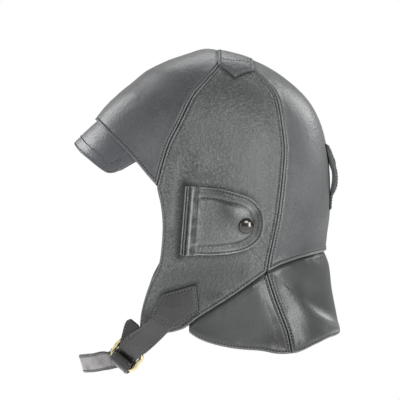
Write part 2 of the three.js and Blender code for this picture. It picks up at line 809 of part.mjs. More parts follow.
function goggleSnapSolid() {
  const out = new THREE.Vector3(0, goggleSnap.outY, goggleSnap.outZ).normalize()
  const seat = new THREE.Vector3(0, goggleSnap.y, goggleSnap.z)
  return trianglesOf(domeSolid(seat, out, goggleSnap.radius, goggleSnap.height))
}

const colours = { leather: 0x3f4242, strap: 0x3a3b3b, brass: 0xa9874b, cap: 0x2b2b2d }
const helmet = new THREE.Group()
helmet.name = 'motoring_helmet'

function addPiece(name, triangles, colour) {
  const metal = colour === colours.brass || colour === colours.cap
  const material = new THREE.MeshStandardMaterial({
    color: colour,
    roughness: metal ? 0.3 : 0.55,
    metalness: metal ? 1 : 0,
  })
  const mesh = new THREE.Mesh(geometryOf(triangles), material)
  mesh.name = name
  helmet.add(mesh)
}

function addPair(name, triangles, colour) {
  addPiece(`${name}_left`, triangles, colour)
  addPiece(`${name}_right`, mirrorTriangles(triangles), colour)
}

const crown = crownPanels()
const curtain = curtainPanels()
const foldedStrap = strapWithRows(buckleStrap, strapFold)
const chin = strapWithRows(chinStrap, strapTail)
addPair('front_panel', crown.frontPanel, colours.leather)
addPair('side_panel', crown.sidePanel, colours.leather)
addPair('back_panel', crown.backPanel, colours.leather)
addPair('curtain_side', curtain.curtainSide, colours.leather)
addPiece('curtain_back', curtain.curtainBack, colours.leather)
addPiece('crown_patch', crownPatchSolid(), colours.leather)
addPiece('visor', visorSolid(), colours.leather)
addPair('ear_cover', earCoverSolid(), colours.leather)
addPair('ear_snap', earSnapSolid(), colours.cap)
addPair('strap_patch', strapPatchSolid(), colours.leather)
addPiece('buckle_strap', strapSolid(foldedStrap.up, foldedStrap.low, 44, leather.strap), colours.strap)
addPiece('buckle_frame', trianglesOf(buckleFrameSolid()), colours.brass)
addPiece('chin_strap', strapSolid(chin.up, chin.low, 64, leather.strap), colours.strap)
addPiece('goggle_tab', tabSolid(), colours.strap)
addPiece('goggle_tab_snap', goggleSnapSolid(), colours.cap)

export default helmet
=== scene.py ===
import bpy
import json
import numpy as np
from itertools import product
from math import cos, pi, radians, sin
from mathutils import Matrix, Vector

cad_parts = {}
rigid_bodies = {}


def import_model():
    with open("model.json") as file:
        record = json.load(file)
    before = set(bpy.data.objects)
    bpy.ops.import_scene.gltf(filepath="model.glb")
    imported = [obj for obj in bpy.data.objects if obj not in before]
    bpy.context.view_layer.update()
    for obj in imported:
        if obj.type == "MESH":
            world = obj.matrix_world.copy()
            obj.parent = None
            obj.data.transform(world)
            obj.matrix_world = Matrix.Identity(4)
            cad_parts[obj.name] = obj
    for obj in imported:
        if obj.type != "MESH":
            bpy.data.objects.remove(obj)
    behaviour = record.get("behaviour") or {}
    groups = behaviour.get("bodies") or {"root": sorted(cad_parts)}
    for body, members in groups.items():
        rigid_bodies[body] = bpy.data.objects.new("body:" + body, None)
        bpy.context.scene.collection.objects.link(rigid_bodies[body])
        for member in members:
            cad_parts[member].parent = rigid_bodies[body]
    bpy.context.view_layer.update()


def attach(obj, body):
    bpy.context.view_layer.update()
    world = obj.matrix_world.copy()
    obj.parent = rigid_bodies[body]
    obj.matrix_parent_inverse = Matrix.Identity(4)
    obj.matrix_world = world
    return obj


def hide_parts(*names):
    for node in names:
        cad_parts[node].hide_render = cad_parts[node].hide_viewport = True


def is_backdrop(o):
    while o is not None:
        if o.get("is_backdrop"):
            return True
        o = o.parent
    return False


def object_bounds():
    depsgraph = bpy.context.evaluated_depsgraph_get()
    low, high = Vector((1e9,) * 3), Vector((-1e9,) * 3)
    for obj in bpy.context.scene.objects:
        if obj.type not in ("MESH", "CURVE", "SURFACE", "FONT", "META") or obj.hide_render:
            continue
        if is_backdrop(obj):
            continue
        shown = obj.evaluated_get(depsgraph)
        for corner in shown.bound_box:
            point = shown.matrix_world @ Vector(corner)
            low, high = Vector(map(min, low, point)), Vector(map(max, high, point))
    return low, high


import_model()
print("frame loaded")

# Leather motoring helmet. Tables are in mm, meshes in metres.
# The wearer looks toward -Y, and +X is the wearer's left.
mm = 0.001

# camera
view = {
    "target": (0, -9.0, -132.85),
    "distance": 2000,
    "elevation": 1.5,      # degrees above the horizon, seen from +X
    "lens": 200,
}
slope = radians(view["elevation"])
cameraData = bpy.data.cameras.new("photoCamera")
cameraData.lens = view["lens"]
cameraData.clip_end = 20
camera = bpy.data.objects.new("photoCamera", cameraData)
bpy.context.collection.objects.link(camera)
camera.location = (
    view["distance"] * cos(slope) * mm,
    view["target"][1] * mm,
    (view["target"][2] + view["distance"] * sin(slope)) * mm,
)
camera.rotation_euler = (pi / 2 - slope, 0, pi / 2)
bpy.context.scene.camera = camera
print("camera placed")


# shape of the head
shell = {
    "top": 2.2,
    "core": (0, 0, -120),
    "wall": 2.2,
    "flatMiddle": (12, 24),   # no folds within the first distance from the middle, all of them past both
    # level sections of the leather's outer face: drop below the top, y of the front and of the back,
    # half the width, and the power of the oval
    "sections": [
        (0, -2.7, -2.7, 0, 2.0),
        (1.4, -11, 7.2, 15.5, 2.05),
        (4.5, -19.9, 19.8, 29, 2.1),
        (10.8, -37.8, 39.6, 45, 2.15),
        (19.8, -56.5, 57.3, 58, 2.2),
        (31.5, -71, 73, 68, 2.25),
        (45, -86.9, 86.6, 75.5, 2.3),
        (61.2, -100.9, 96.4, 80.5, 2.3),
        (81, -109.4, 102.6, 83.5, 2.3),
        (103.5, -112.5, 106.3, 85, 2.3),
        (126.1, -112.5, 107.3, 85.5, 2.3),
        (148.6, -110.7, 106.8, 85, 2.3),
        (171.1, -107.1, 103.8, 83.5, 2.3),
        (181.9, -104.4, 103.5, 82.5, 2.3),
        (193.5, -101.7, 106.9, 81.5, 2.3),
        (216, -95.4, 109.6, 80.5, 2.3),
        (238.6, -88.2, 113.9, 80, 2.3),
        (253.9, -82.8, 117, 80.5, 2.3),
        (274.5, -77.4, 120.6, 81, 2.3),
    ],
    # soft folds: y and z along the crest, half width on its near and its far side, and height at its start
    # and at its end
    "folds": [
        ([(-8, -96.8), (-18, -135), (-30, -174.4)], 9, 9, 1.6, 1.8),
        ([(34, -196), (44, -217), (50, -236)], 9, 10, 2.4, 0.4),
        ([(70, -214), (77, -230), (86, -250)], 15, 10, 0.0, 3.1),
        ([(73, -212), (79.7, -221.5), (87.7, -230), (96.7, -236.5), (106.7, -242), (113, -245)],
         9, 6, 1.0, 4.2),
        ([(46, -72), (43, -120), (40, -168)], 26, 14, 1.8, 1.8),
        ([(-70, -40), (-100, -52)], 12, 12, 0.8, 0.8),
    ],
}
sectionTable = np.array(shell["sections"], float)
sectionKnots = np.sqrt(sectionTable[:, 0])
core = np.array(shell["core"], float)


def smoothStep(t, a, slopeA, b, slopeB):  # from a to b, leaving and arriving with the given slopes
    return (
        (2 * t**3 - 3 * t**2 + 1) * a + (t**3 - 2 * t**2 + t) * slopeA
        + (3 * t**2 - 2 * t**3) * b + (t**3 - t**2) * slopeB
    )


def sectionAt(knot, column):
    values = sectionTable[:, column]
    last = len(values) - 1
    before = np.maximum(np.arange(last + 1) - 1, 0)
    after = np.minimum(np.arange(last + 1) + 1, last)
    slopes = (values[after] - values[before]) / (sectionKnots[after] - sectionKnots[before])
    i = np.clip(np.searchsorted(sectionKnots, knot) - 1, 0, last - 1)
    step = sectionKnots[i + 1] - sectionKnots[i]
    t = np.clip((knot - sectionKnots[i]) / step, 0, 1)
    return smoothStep(t, values[i], step * slopes[i], values[i + 1], step * slopes[i + 1])


def ovalAt(z):
    knot = np.sqrt(np.maximum(shell["top"] - z, 1e-6))
    front, back = sectionAt(knot, 1), sectionAt(knot, 2)
    reach = np.maximum((back - front) / 2, 0.001)
    half = np.maximum(sectionAt(knot, 3), 0.001)
    return (front + back) / 2, reach, half, sectionAt(knot, 4)


def sideOf(p):  # below zero inside, above zero outside
    middle, reach, half, power = ovalAt(p[..., 2])
    across = (abs(p[..., 0]) / half) ** power + (abs(p[..., 1] - middle) / reach) ** power - 1
    return np.where(p[..., 2] >= shell["top"], 1.0, across)


def slopeAt(p):  # outward direction of the surface
    step = 0.05 * np.eye(3)
    grown = np.stack([sideOf(p + step[i]) - sideOf(p - step[i]) for i in range(3)], -1)
    return unit(grown)


def unit(v):
    return v / np.maximum(np.linalg.norm(v, axis=-1, keepdims=True), 1e-9)


def onShell(points):  # pushed in or out along the ray from the core
    way = unit(points - core)
    near, far = np.full(way.shape[:-1], 5.0), np.full(way.shape[:-1], 260.0)
    for _ in range(34):
        middle = (near + far) / 2
        inside = sideOf(core + way * middle[..., None]) < 0
        near, far = np.where(inside, middle, near), np.where(inside, far, middle)
    return core + way * near[..., None]


def sidePoint(y, z):
    middle, reach, half, power = ovalAt(z)
    share = np.minimum(abs(y - middle) / reach, 1)
    return np.stack([half * (1 - share**power) ** (1 / power), y, z], -1)


def topPoint(x, y):
    low, high = np.full(np.shape(x), -80.0), np.full(np.shape(x), shell["top"])
    for _ in range(40):
        middle = (low + high) / 2
        inside = sideOf(np.stack([x, y, middle], -1)) < 0
        low, high = np.where(inside, middle, low), np.where(inside, high, middle)
    return np.stack([x, y, low], -1)


def ridgeAt(p, crest, nearWidth, farWidth):  # 1 on the crest and less to both sides, and the share along it
    away, along = distanceTo(crest, p)
    share = along / lengthsOf(crest)[-1]
    run = crest[-1] - crest[0]
    rest = p - alongLine(crest, share)
    width = np.where(rest[..., 0] * -run[1] + rest[..., 1] * run[0] > 0, farWidth, nearWidth)
    return np.exp(-((away / width) ** 2)), share


def foldHeight(p):
    height = np.zeros(p.shape[:-1])
    for points, nearWidth, farWidth, firstRise, lastRise in shell["folds"]:
        ridge, share = ridgeAt(p[..., 1:], curveThrough(points, 60), nearWidth, farWidth)
        height += (firstRise + (lastRise - firstRise) * share) * ridge
    flat, blend = shell["flatMiddle"]
    return height * np.clip((abs(p[..., 0]) - flat) / blend, 0, 1)


def softNoise(p, size, seed):  # smooth bumps about the given size, between -1 and 1
    table = np.random.default_rng(seed).uniform(-1, 1, (32, 32, 32))
    q = p / size + 400
    cell = np.floor(q).astype(int)
    share = q - cell
    share = share * share * (3 - 2 * share)
    total = np.zeros(p.shape[:-1])
    for corner in product((0, 1), repeat=3):
        c = np.array(corner)
        k = (cell + c) % 32
        total += np.prod(np.where(c, share, 1 - share), axis=-1) * table[k[..., 0], k[..., 1], k[..., 2]]
    return total


# lines
def lengthsOf(line):  # length from the start of the line to each of its points
    return np.concatenate([[0], np.cumsum(np.linalg.norm(np.diff(line, axis=0), axis=1))])


def readAlong(want, along, values):
    return np.stack([np.interp(want, along, values[:, i]) for i in range(values.shape[1])], -1)


def evenly(line, count):  # count + 1 points, evenly spaced along it
    line = np.asarray(line, float)
    along = lengthsOf(line)
    return readAlong(np.linspace(0, along[-1], count + 1), along, line)


def extended(p):  # one more point past each end
    return np.vstack([2 * p[:1] - p[1:2], p, 2 * p[-1:] - p[-2:-1]])


def fineCurve(ring, fine):  # smooth curve from the second point to the last but one
    t = np.linspace(0, 1, fine, endpoint=False)[:, None]
    pieces = []
    for a, b, c, d in zip(ring, ring[1:], ring[2:], ring[3:]):
        da, db, dc = (max(np.linalg.norm(q - r) ** 0.5, 1e-3) for q, r in ((b, a), (c, b), (d, c)))
        slopeB = ((b - a) / da - (c - a) / (da + db) + (c - b) / db) * db
        slopeC = ((c - b) / db - (d - b) / (db + dc) + (d - c) / dc) * db
        pieces.append(smoothStep(t, b, slopeB, c, slopeC))
    return np.vstack(pieces + [ring[-2:-1]])


def curveThrough(points, count, closed=False):
    p = np.asarray(points, float)
    ring = np.vstack([p[-1:], p, p[:2]]) if closed else extended(p)
    return evenly(fineCurve(ring, 24), count)


def distanceTo(line, points):  # shortest way to a fine line, and how far along it
    flat = points.reshape(-1, line.shape[1])
    lengths = lengthsOf(line)
    best, along = np.empty(len(flat)), np.empty(len(flat))
    for start in range(0, len(flat), 4000):
        p = flat[start:start + 4000]
        square = (p**2).sum(1)[:, None] + (line**2).sum(1) - 2 * p @ line.T
        k = square.argmin(1)
        near = np.full(len(p), np.inf)
        where = np.zeros(len(p))
        for first in (np.maximum(k - 1, 0), np.minimum(k, len(line) - 2)):
            run = line[first + 1] - line[first]
            share = np.clip(((p - line[first]) * run).sum(1) / np.maximum((run**2).sum(1), 1e-12), 0, 1)
            gap = np.linalg.norm(p - line[first] - share[:, None] * run, axis=1)
            closer = gap < near
            near = np.where(closer, gap, near)
            where = np.where(closer, lengths[first] + share * np.linalg.norm(run, axis=1), where)
        best[start:start + 4000], along[start:start + 4000] = near, where
    return best.reshape(points.shape[:-1]), along.reshape(points.shape[:-1])


# grids: mm from each edge to its first lines, and the gap that a panel keeps from the middle of its seam
edgeStations = np.array([0, 0.22, 0.5, 0.85, 1.25, 1.7, 2.1, 2.45, 2.75, 3.1, 3.5, 4.1, 5, 6.3, 8])
panelGrid = {"gap": 0.01, "wideBulge": 1.04, "tallBulge": 1.08}   # curved leather is longer than its chord


def stations(length, count):  # mm from one edge to the other, close together near both edges
    whole = np.asarray(length, float)[..., None]
    first = edgeStations * np.minimum(whole / (2.6 * edgeStations[-1]), 1)
    middle = np.linspace(0, 1, count + 2)[1:-1] * (whole - 2 * first[..., -1:])
    return np.concatenate([first, first[..., -1:] + middle, whole - first[..., ::-1]], -1)


def alongLine(line, share):
    at = np.clip(share, 0, 1) * (len(line) - 1)
    i = np.minimum(at.astype(int), len(line) - 2)
    part = (at - i)[..., None]
    return line[i] * (1 - part) + line[i + 1] * part


def patchAt(sides, s, t):  # point of the patch between four lines
    top, bottom, left, right = sides
    s1, t1 = s[..., None], t[..., None]
    corners = (
        (1 - s1) * (1 - t1) * top[0] + s1 * (1 - t1) * top[-1]
        + (1 - s1) * t1 * bottom[0] + s1 * t1 * bottom[-1]
    )
    return (
        (1 - t1) * alongLine(top, s) + t1 * alongLine(bottom, s)
        + (1 - s1) * alongLine(left, t) + s1 * alongLine(right, t) - corners
    )


def gridOf(sides, columns, rows):  # fine grid over the patch, close together along its four sides
    top, bottom, left, right = (evenly(line, 400) for line in sides)
    tall = np.linspace(0, 1, rows + 2 * len(edgeStations))
    wide = np.linspace(0, 1, columns + 2 * len(edgeStations))
    width = np.linalg.norm(alongLine(right, tall) - alongLine(left, tall), axis=1) * panelGrid["wideBulge"]
    height = np.linalg.norm(alongLine(bottom, wide) - alongLine(top, wide), axis=1) * panelGrid["tallBulge"]
    s = stations(width, columns) / width[:, None]
    t = (stations(height, rows) / height[:, None]).T
    sideGap, endGap = panelGrid["gap"] / width[:, None], panelGrid["gap"] / height
    return patchAt((top, bottom, left, right), sideGap + s * (1 - 2 * sideGap), endGap + t * (1 - 2 * endGap))


# leather edges
# by the distance from an edge: height of the face, and painted shade, from 1 where shade is painted into the
# dip at the seam or into a stitched row to below 0 where a highlight is painted on a raised strip
edgeKinds = {
    "seam": {
        "height": [(0, -1.3), (0.25, -0.4), (0.6, 0.5), (1.2, 0.95), (1.8, 0.75), (2.3, 0.2), (2.7, -0.2),
                   (3.1, 0.25), (3.9, 0.6), (5.5, 0.25), (9, 0)],
        "dark": [(0, 0.8), (0.2, 0.5), (0.45, -0.3), (0.8, -0.8), (1.7, -0.8), (2.2, 0.1), (2.5, 0.9),
                 (2.9, 0.9), (3.2, 0.1), (3.6, -0.25), (5, -0.05), (7, 0)],
    },
    "hem": {
        "height": [(0, -1.0), (0.25, -0.45), (0.7, 0.2), (1.2, 0.5), (1.8, 0.3), (2.4, -0.2), (2.9, 0.25),
                   (4, 0.35), (7, 0)],
        "dark": [(0, 0.3), (0.4, -0.1), (1.2, -0.7), (1.9, 0), (2.2, 0.8), (2.6, 0.8), (2.9, 0), (4, -0.2),
                 (6, 0)],
    },
    "over": {  # folded edge that lies over its neighbour
        "height": [(0, -0.5), (0.3, 0.4), (0.8, 1.2), (1.6, 1.4), (2.4, 0.9), (3.0, 0.1), (3.4, 0.4),
                   (4.2, 0.65), (6, 0.25), (9, 0)],
        "dark": [(0, 0.9), (0.4, 0.2), (0.9, -0.5), (1.6, -0.7), (2.5, 0), (2.8, 0.9), (3.2, 0.9), (3.5, 0),
                 (4.2, -0.2), (7, 0)],
    },
    # edge tucked under its neighbour, with a painted shadow along it
    "under": {
        "height": [(0, -1.8), (1.2, -1.3), (3, -0.4), (6, 0)],
        "dark": [(0, 1), (0.7, 0.95), (1.6, 0.35), (3.2, 0), (9, 0)],
    },
}
seamRow, hemRow, overRow = 2.7, 2.4, 3.0   # stitched rows, mm in from the edge
pucker = {"height": 0.35, "away": 5.5, "width": 3.5, "size": 6}   # ripple of the leather beside the thread
# y, z, half width, half height and shade: painted shade above 0, painted highlight below 0
paintedLightSpots = [
    (-56, -233.5, 4.5, 8, 0.85), (54, -243, 10, 15, 0.6), (72, -211, 8, 12, 0.6), (-4, -197, 36, 15, 0.48),
    (20, -37, 32, 16, 0.3), (98, -183, 14, 5, 0.5), (84, -110, 14, 40, -0.25), (108, -241, 11, 5, -0.6),
    (84, -168, 24, 16, 0.2), (62, -255, 26, 9, 0.65), (52, -172, 14, 20, 0.25), (-24, -66, 6, 18, 0.25),
    (84, -208, 12, 8, -0.3), (-34, -93, 7, 12, 0.25), (4, -216, 12, 8, 0.3), (-4, -214, 16, 8, 0.3),
    (-4, -109, 15, 7, 0.4), (94, -80, 9, 28, -0.35), (64, -190, 10, 12, 0.2),
]
paintedLightLines = []   # line, half its width, and painted shade at its start and at its end, a painted highlight where below 0


def curveValue(table, x):
    return np.interp(x, [row[0] for row in table], [row[1] for row in table])


def bySpots(y, z, spots):  # shade that the spots add at each place
    added = np.zeros(y.shape)
    for middleY, middleZ, halfWide, halfTall, amount in spots:
        added += amount * np.exp(-(((y - middleY) / halfWide) ** 2) - ((z - middleZ) / halfTall) ** 2)
    return added


softForms = {
    "sizes": (38, 13),   # mm, of the large and the small bumps
    "small": 0.25,       # height of the small bumps as a share of the large ones'
    "fade": 6,           # mm from an edge over which bumps and folds die out
    "atEdge": 0.35,      # share of their height that is left there
}


def reliefOf(edges, seed, soft=0.55):  # soft is the height of the large bumps
    large, small = softForms["sizes"]

    def relief(p):
        height = foldHeight(p)
        height += soft * softNoise(p, large, seed) + softForms["small"] * soft * softNoise(p, small, seed + 1)
        nearest = np.full(p.shape[:-1], np.inf)
        edgeHeight, dark, ruffle = (np.zeros(p.shape[:-1]) for _ in range(3))
        for i, (line, kind) in enumerate(edges):
            away, along = distanceTo(line, p)
            closer = away < nearest
            nearest = np.where(closer, away, nearest)
            edgeHeight = np.where(closer, curveValue(edgeKinds[kind]["height"], away), edgeHeight)
            dark = np.where(closer, curveValue(edgeKinds[kind]["dark"], away), dark)
            flat = np.stack([along, away * 0.3, 0 * along + 50 * i], -1)   # 50 sets the edges' waves apart
            wave = softNoise(flat, pucker["size"], seed + 7)
            wave = wave * np.exp(-(((away - pucker["away"]) / pucker["width"]) ** 2))
            ruffle = np.where(closer, wave, ruffle)
        # painted shade and painted highlights from the spots and the lines
        dark = dark + bySpots(p[..., 1], p[..., 2], paintedLightSpots)
        for line, halfWide, firstAmount, lastAmount in paintedLightLines:
            away, along = distanceTo(line, p)
            amount = firstAmount + (lastAmount - firstAmount) * along / lengthsOf(line)[-1]
            dark = dark + amount * np.exp(-((away / halfWide) ** 2))
        fade = np.clip(nearest / softForms["fade"], 0, 1)
        height *= softForms["atEdge"] + (1 - softForms["atEdge"]) * fade
        height += edgeHeight + pucker["height"] * ruffle
        return height, np.clip(dark, -1.2, 1)
    return relief


def placeObject(name, points, faces, dark=None, worn=None):
    mesh = bpy.data.meshes.new(name)
    mesh.from_pydata((np.asarray(points) * mm).tolist(), [], faces)
    mesh.validate()
    for key, values in (("groove", dark), ("worn", worn)):
        if values is not None:
            mark = mesh.attributes.new(key, "FLOAT", "POINT")
            mark.data.foreach_set("value", np.asarray(values, np.float32))
    made = bpy.data.objects.new(name, mesh)
    bpy.context.collection.objects.link(made)
    turnOutward(made)
    mesh.shade_smooth()
    mesh.set_sharp_from_angle(angle=radians(62))
    return made


def turnOutward(made):  # closed meshes only: the volume tells which way the faces look
    mesh = made.data
    mesh.calc_loop_triangles()
    place = np.empty(len(mesh.vertices) * 3)
    mesh.vertices.foreach_get("co", place)
    corners = np.empty(len(mesh.loop_triangles) * 3, int)
    mesh.loop_triangles.foreach_get("vertices", corners)
    a, b, c = place.reshape(-1, 3)[corners.reshape(-1, 3)].transpose(1, 0, 2)
    if (a * np.cross(b, c)).sum() < 0:
        mesh.flip_normals()


# closed body of two grids, its under side half as dark unless its shade is given
def sheetPiece(name, outer, inner, dark, mirror=False, worn=None, underShade=None):
    rows, columns = outer.shape[:2]
    points = np.concatenate([outer.reshape(-1, 3), inner.reshape(-1, 3)])
    if mirror:
        points = mirrored(points)
    k = np.arange(rows * columns).reshape(rows, columns)
    low = k + rows * columns
    faces = np.stack([k[:-1, :-1], k[1:, :-1], k[1:, 1:], k[:-1, 1:]], -1).reshape(-1, 4).tolist()
    faces += np.stack([low[:-1, :-1], low[:-1, 1:], low[1:, 1:], low[1:, :-1]], -1).reshape(-1, 4).tolist()
    around = np.concatenate([k[0, :-1], k[:-1, -1], k[-1, :0:-1], k[:0:-1, 0]])
    after = np.roll(around, -1)
    under = around + rows * columns
    faces += np.stack([around, after, np.roll(under, -1), under], -1).tolist()
    underShade = 0.5 * np.maximum(dark, 0) if underShade is None else underShade
    shade = np.concatenate([dark.ravel(), underShade.ravel()])
    pale = None if worn is None else np.tile(worn.ravel(), 2)
    return placeObject(name, points, faces, shade, pale)


def leatherPanel(name, sides, columns, rows, edges, seed, mirror=False, soft=0.55):
    base = onShell(gridOf(sides, columns, rows))
    normal = slopeAt(base)
    height, dark = reliefOf(edges, seed, soft)(base)
    # the inside follows half of the relief
    inner = base + normal * (0.5 * np.minimum(height, 1.5) - shell["wall"])[..., None]
    return sheetPiece(name, base + normal * height[..., None], inner, dark, mirror)


# stitches
stitching = {"pitch": 2.8, "length": 1.7, "thickness": 1.05, "sink": 0.24}
stitchRows = []   # points and outward directions of each row


def stitchAlong(line, edges, seed, inward, away, start, end, mirror=False):
    line = evenly(line, max(int(lengthsOf(line)[-1] / 1.5), 4))
    side = np.cross(slopeAt(line), unit(np.gradient(line, axis=0)))
    side *= np.sign(((inward - line) * side).sum())
    base = onShell(line + side * away)
    length = lengthsOf(base)
    base = base[(length >= start) & (length <= length[-1] - end)]
    normal = slopeAt(base)
    height, _ = reliefOf(edges, seed)(base)
    addRow(base + normal * (height + stitching["sink"])[..., None], normal, mirror)


def addRow(points, normals, mirror=False):
    if len(points) < 3:
        return
    turn = np.array((-1, 1, 1) if mirror else (1, 1, 1))
    stitchRows.append((points * turn, unit(normals) * turn))


# lines of the crown and the curtain, y and z as seen from the side
crown = {
    "apexY": 22.5,
    "start": 0.05,         # share of each seam that stays open under the patch on top
    "frontSeam": [(7.1, -15.2), (-3.8, -27.2), (-14.6, -40), (-25.4, -61.6), (-36.1, -83), (-46.5, -118.6)],
    "backSeam": [(38.4, -18.4), (53.9, -35.2), (61.2, -61.6), (63.9, -87.9), (62, -113.6), (56.5, -154.1),
                 (48.6, -193.3)],
    "browSeam": [(-55.3, -108.8), (-64.7, -97.7), (-78.6, -83.3), (-92.6, -69.9), (-99.4, -63.8)],
    "browMiddle": (-102, -62.2),
    "faceEdge": [(-46.5, -120), (-43, -136.2), (-41.6, -156.4), (-45.1, -187.6), (-53.7, -205.7),
                 (-60.6, -228.7), (-62.2, -242.9)],
    "flapHem": [(-62.2, -242.9), (-50.9, -246.3), (-36.9, -246.6), (-23, -242.5)],
}
curtain = {
    "seam": [(-23, -242.5), (-9, -232), (13.9, -217.4), (37.1, -201.3), (48.6, -193.3), (61.9, -187.2),
             (80.1, -181.8), (96.8, -179)],
    "seamMiddle": (103.4, -177.6),
    "joint": 48.6,
    "hem": [(-23, -242.5), (-11.4, -250.6), (13.4, -258.3), (43.3, -261.5), (58.3, -264.3), (73.4, -264.2),
            (92, -257.7), (107.5, -252.7)],
    "hemMiddle": (117, -250.1),
    "corner": 70.7,
    "crossSeam": [(48.6, -193.3), (55.1, -214.2), (60.2, -228.2), (66.2, -243.9), (70.7, -264.3)],
}


def lifted(rows):
    table = np.array(rows, float)
    return sidePoint(table[:, 0], table[:, 1])


def laid(points, count=200):
    return onShell(curveThrough(points, count))


def cutStart(line):
    return evenly(line, 400)[int(crown["start"] * 400):]


def between(a, b):
    return np.linspace(a, b, 12)


def mirrored(points):
    return np.asarray(points) * (-1, 1, 1)


apex = topPoint(np.array(0.0), np.array(crown["apexY"]))
frontSeam = laid(np.vstack([apex, lifted(crown["frontSeam"])]))
backSeam = laid(np.vstack([apex, lifted(crown["backSeam"])]))
browMiddle = sidePoint(*map(np.array, crown["browMiddle"])) * (0, 1, 1)
browLine = laid(np.vstack([browMiddle, lifted(crown["browSeam"][::-1]), frontSeam[-1:]]))
frontMiddle = topPoint(np.zeros(200), np.linspace(crown["apexY"], crown["browMiddle"][0], 200))
faceLine = laid(np.vstack([frontSeam[-1:], lifted(crown["faceEdge"])]))
flapLine = laid(lifted(crown["flapHem"]))
seamFront = laid(lifted([row for row in curtain["seam"] if row[0] <= curtain["joint"]]))
seamBack = lifted([row for row in curtain["seam"] if row[0] >= curtain["joint"]])
seamMiddle = np.array((0, *curtain["seamMiddle"]), float)
aroundBack = laid(np.vstack([seamBack, seamMiddle, mirrored(seamBack[::-1])]), 600)
seamBackHalf = np.vstack([aroundBack[aroundBack[:, 0] > 0.2], onShell(seamMiddle)])
turn = (np.linspace(0, 1, 200) ** 1.2)[:, None]   # bows back on its way down
backMiddle = onShell(apex + (seamMiddle - apex) * turn + np.array((0, 60, 0)) * np.sin(pi * turn))
paintedLightRows = [  # y and z of the line, half its width, and painted shade at its start and at its end, a painted highlight where below 0: painted shadows beside the ear cover and the strap patch, painted highlights along folds of the side and the curtain
    ([(-27.4, -179.5), (-25.8, -158.6), (-24.3, -138.7), (-22.8, -115.6)], 3.8, 0.9, 0.8),
    ([(-27, -96), (-31.5, -126), (-34, -152)], 2.4, -0.4, -0.8),
    ([(-22.4, -117.6), (-6, -118), (9, -119.5), (19, -122), (31.9, -126.4), (39.9, -132.2)], 1.8, 0.6, 0.4),
    ([(-27.2, -179.3), (4, -179.3), (24.5, -176.7), (36, -172)], 1.6, 0.45, 0.45),
    ([(-51.5, -231.5), (-47, -221.4), (-41.6, -210.6), (-26, -206.1), (-11, -202.2)], 1.3, 0.5, 0.5),
    ([(75.4, -212.7), (81.4, -220.4), (89.1, -229.7), (98.3, -236.2), (108, -241.8), (115, -244.8)],
     3.0, -0.1, -1.2),
]
for rows, halfWide, first, last in paintedLightRows:
    paintedLightLines.append((laid(lifted(rows), 80), halfWide, first, last))
# shadow round the patch on top, x and y seen from above
patchRows = np.array([(8, 6), (30, 6), (53.9, 6.0), (63.4, 21), (49.4, 38.5), (30, 38.8), (8, 38.8)])
paintedLightLines.append((topPoint(*evenly(patchRows, 120).T), 1.5, 0.7, 0.7))
print("lines laid out")


# rows: line to sew along, mm in from it, and mm left bare at its start and at its end
def sewPanel(edges, seed, middle, rows, mirror=False):
    inside = onShell(np.array([middle], float))[0]
    for line, away, start, end in rows:
        stitchAlong(line, edges, seed, inside, away, start, end, mirror)


hemRows = [row for row in curtain["hem"] if row[0] < curtain["corner"]] + [curtain["crossSeam"][-1]]
hemFront = laid(lifted(hemRows))
crossSeam = laid(lifted(curtain["crossSeam"]))
for side, mirror in (("Left", False), ("Right", True)):
    seed = 40 if mirror else 10

    left, right = cutStart(frontMiddle), cutStart(frontSeam)
    sides = (between(left[0], right[0]), browLine, left, right)
    edges = [(frontMiddle, "seam"), (frontSeam, "seam"), (browLine, "over")]
    made = leatherPanel("frontPanel" + side, sides, 44, 66, edges, seed, mirror)
    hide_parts("front_panel_" + side.lower())
    rows = [(frontMiddle, seamRow, 20, 5), (frontSeam, seamRow, 14, 5), (browLine, overRow, 2, 2)]
    sewPanel(edges, seed, (45, -60, -50), rows, mirror)

    left, right = cutStart(np.vstack([frontSeam, faceLine[1:]])), cutStart(backSeam)
    sides = (between(left[0], right[0]), np.vstack([flapLine, seamFront[1:]]), left, right)
    edges = [(frontSeam, "seam"), (faceLine, "hem"), (flapLine, "hem"), (seamFront, "over"),
             (backSeam, "seam")]
    made = leatherPanel("sidePanel" + side, sides, 56, 120, edges, seed + 1, mirror)
    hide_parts("side_panel_" + side.lower())
    rows = [(frontSeam, seamRow, 14, 0), (faceLine, hemRow, 1, 2), (flapLine, hemRow, 3, 0),
            (seamFront, overRow, 0, 1), (backSeam, seamRow, 14, 4)]
    sewPanel(edges, seed + 1, (80, 5, -130), rows, mirror)

    left, right = cutStart(backSeam), cutStart(backMiddle)
    sides = (between(left[0], right[0]), seamBackHalf, left, right)
    edges = [(backSeam, "seam"), (backMiddle, "seam"), (seamBackHalf, "over")]
    made = leatherPanel("backPanel" + side, sides, 50, 96, edges, seed + 2, mirror)
    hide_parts("back_panel_" + side.lower())
    rows = [(backSeam, seamRow, 14, 4), (backMiddle, seamRow, 20, 4), (seamBackHalf, overRow, 1, 1)]
    sewPanel(edges, seed + 2, (60, 80, -110), rows, mirror)

    tip = 12   # points left out at the sharp front end, where seam and hem meet
    sides = (seamFront[tip:], hemFront[tip:], between(seamFront[tip], hemFront[tip]), crossSeam)
    edges = [(seamFront, "under"), (hemFront, "hem"), (crossSeam, "seam")]
    made = leatherPanel("curtainSide" + side, sides, 70, 34, edges, seed + 3, mirror)
    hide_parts("curtain_side_" + side.lower())
    rows = [(hemFront, hemRow, 12, 1), (crossSeam, seamRow, 2, 1)]
    sewPanel(edges, seed + 3, (80, 35, -230), rows, mirror)
print("crown panels and curtain sides made")

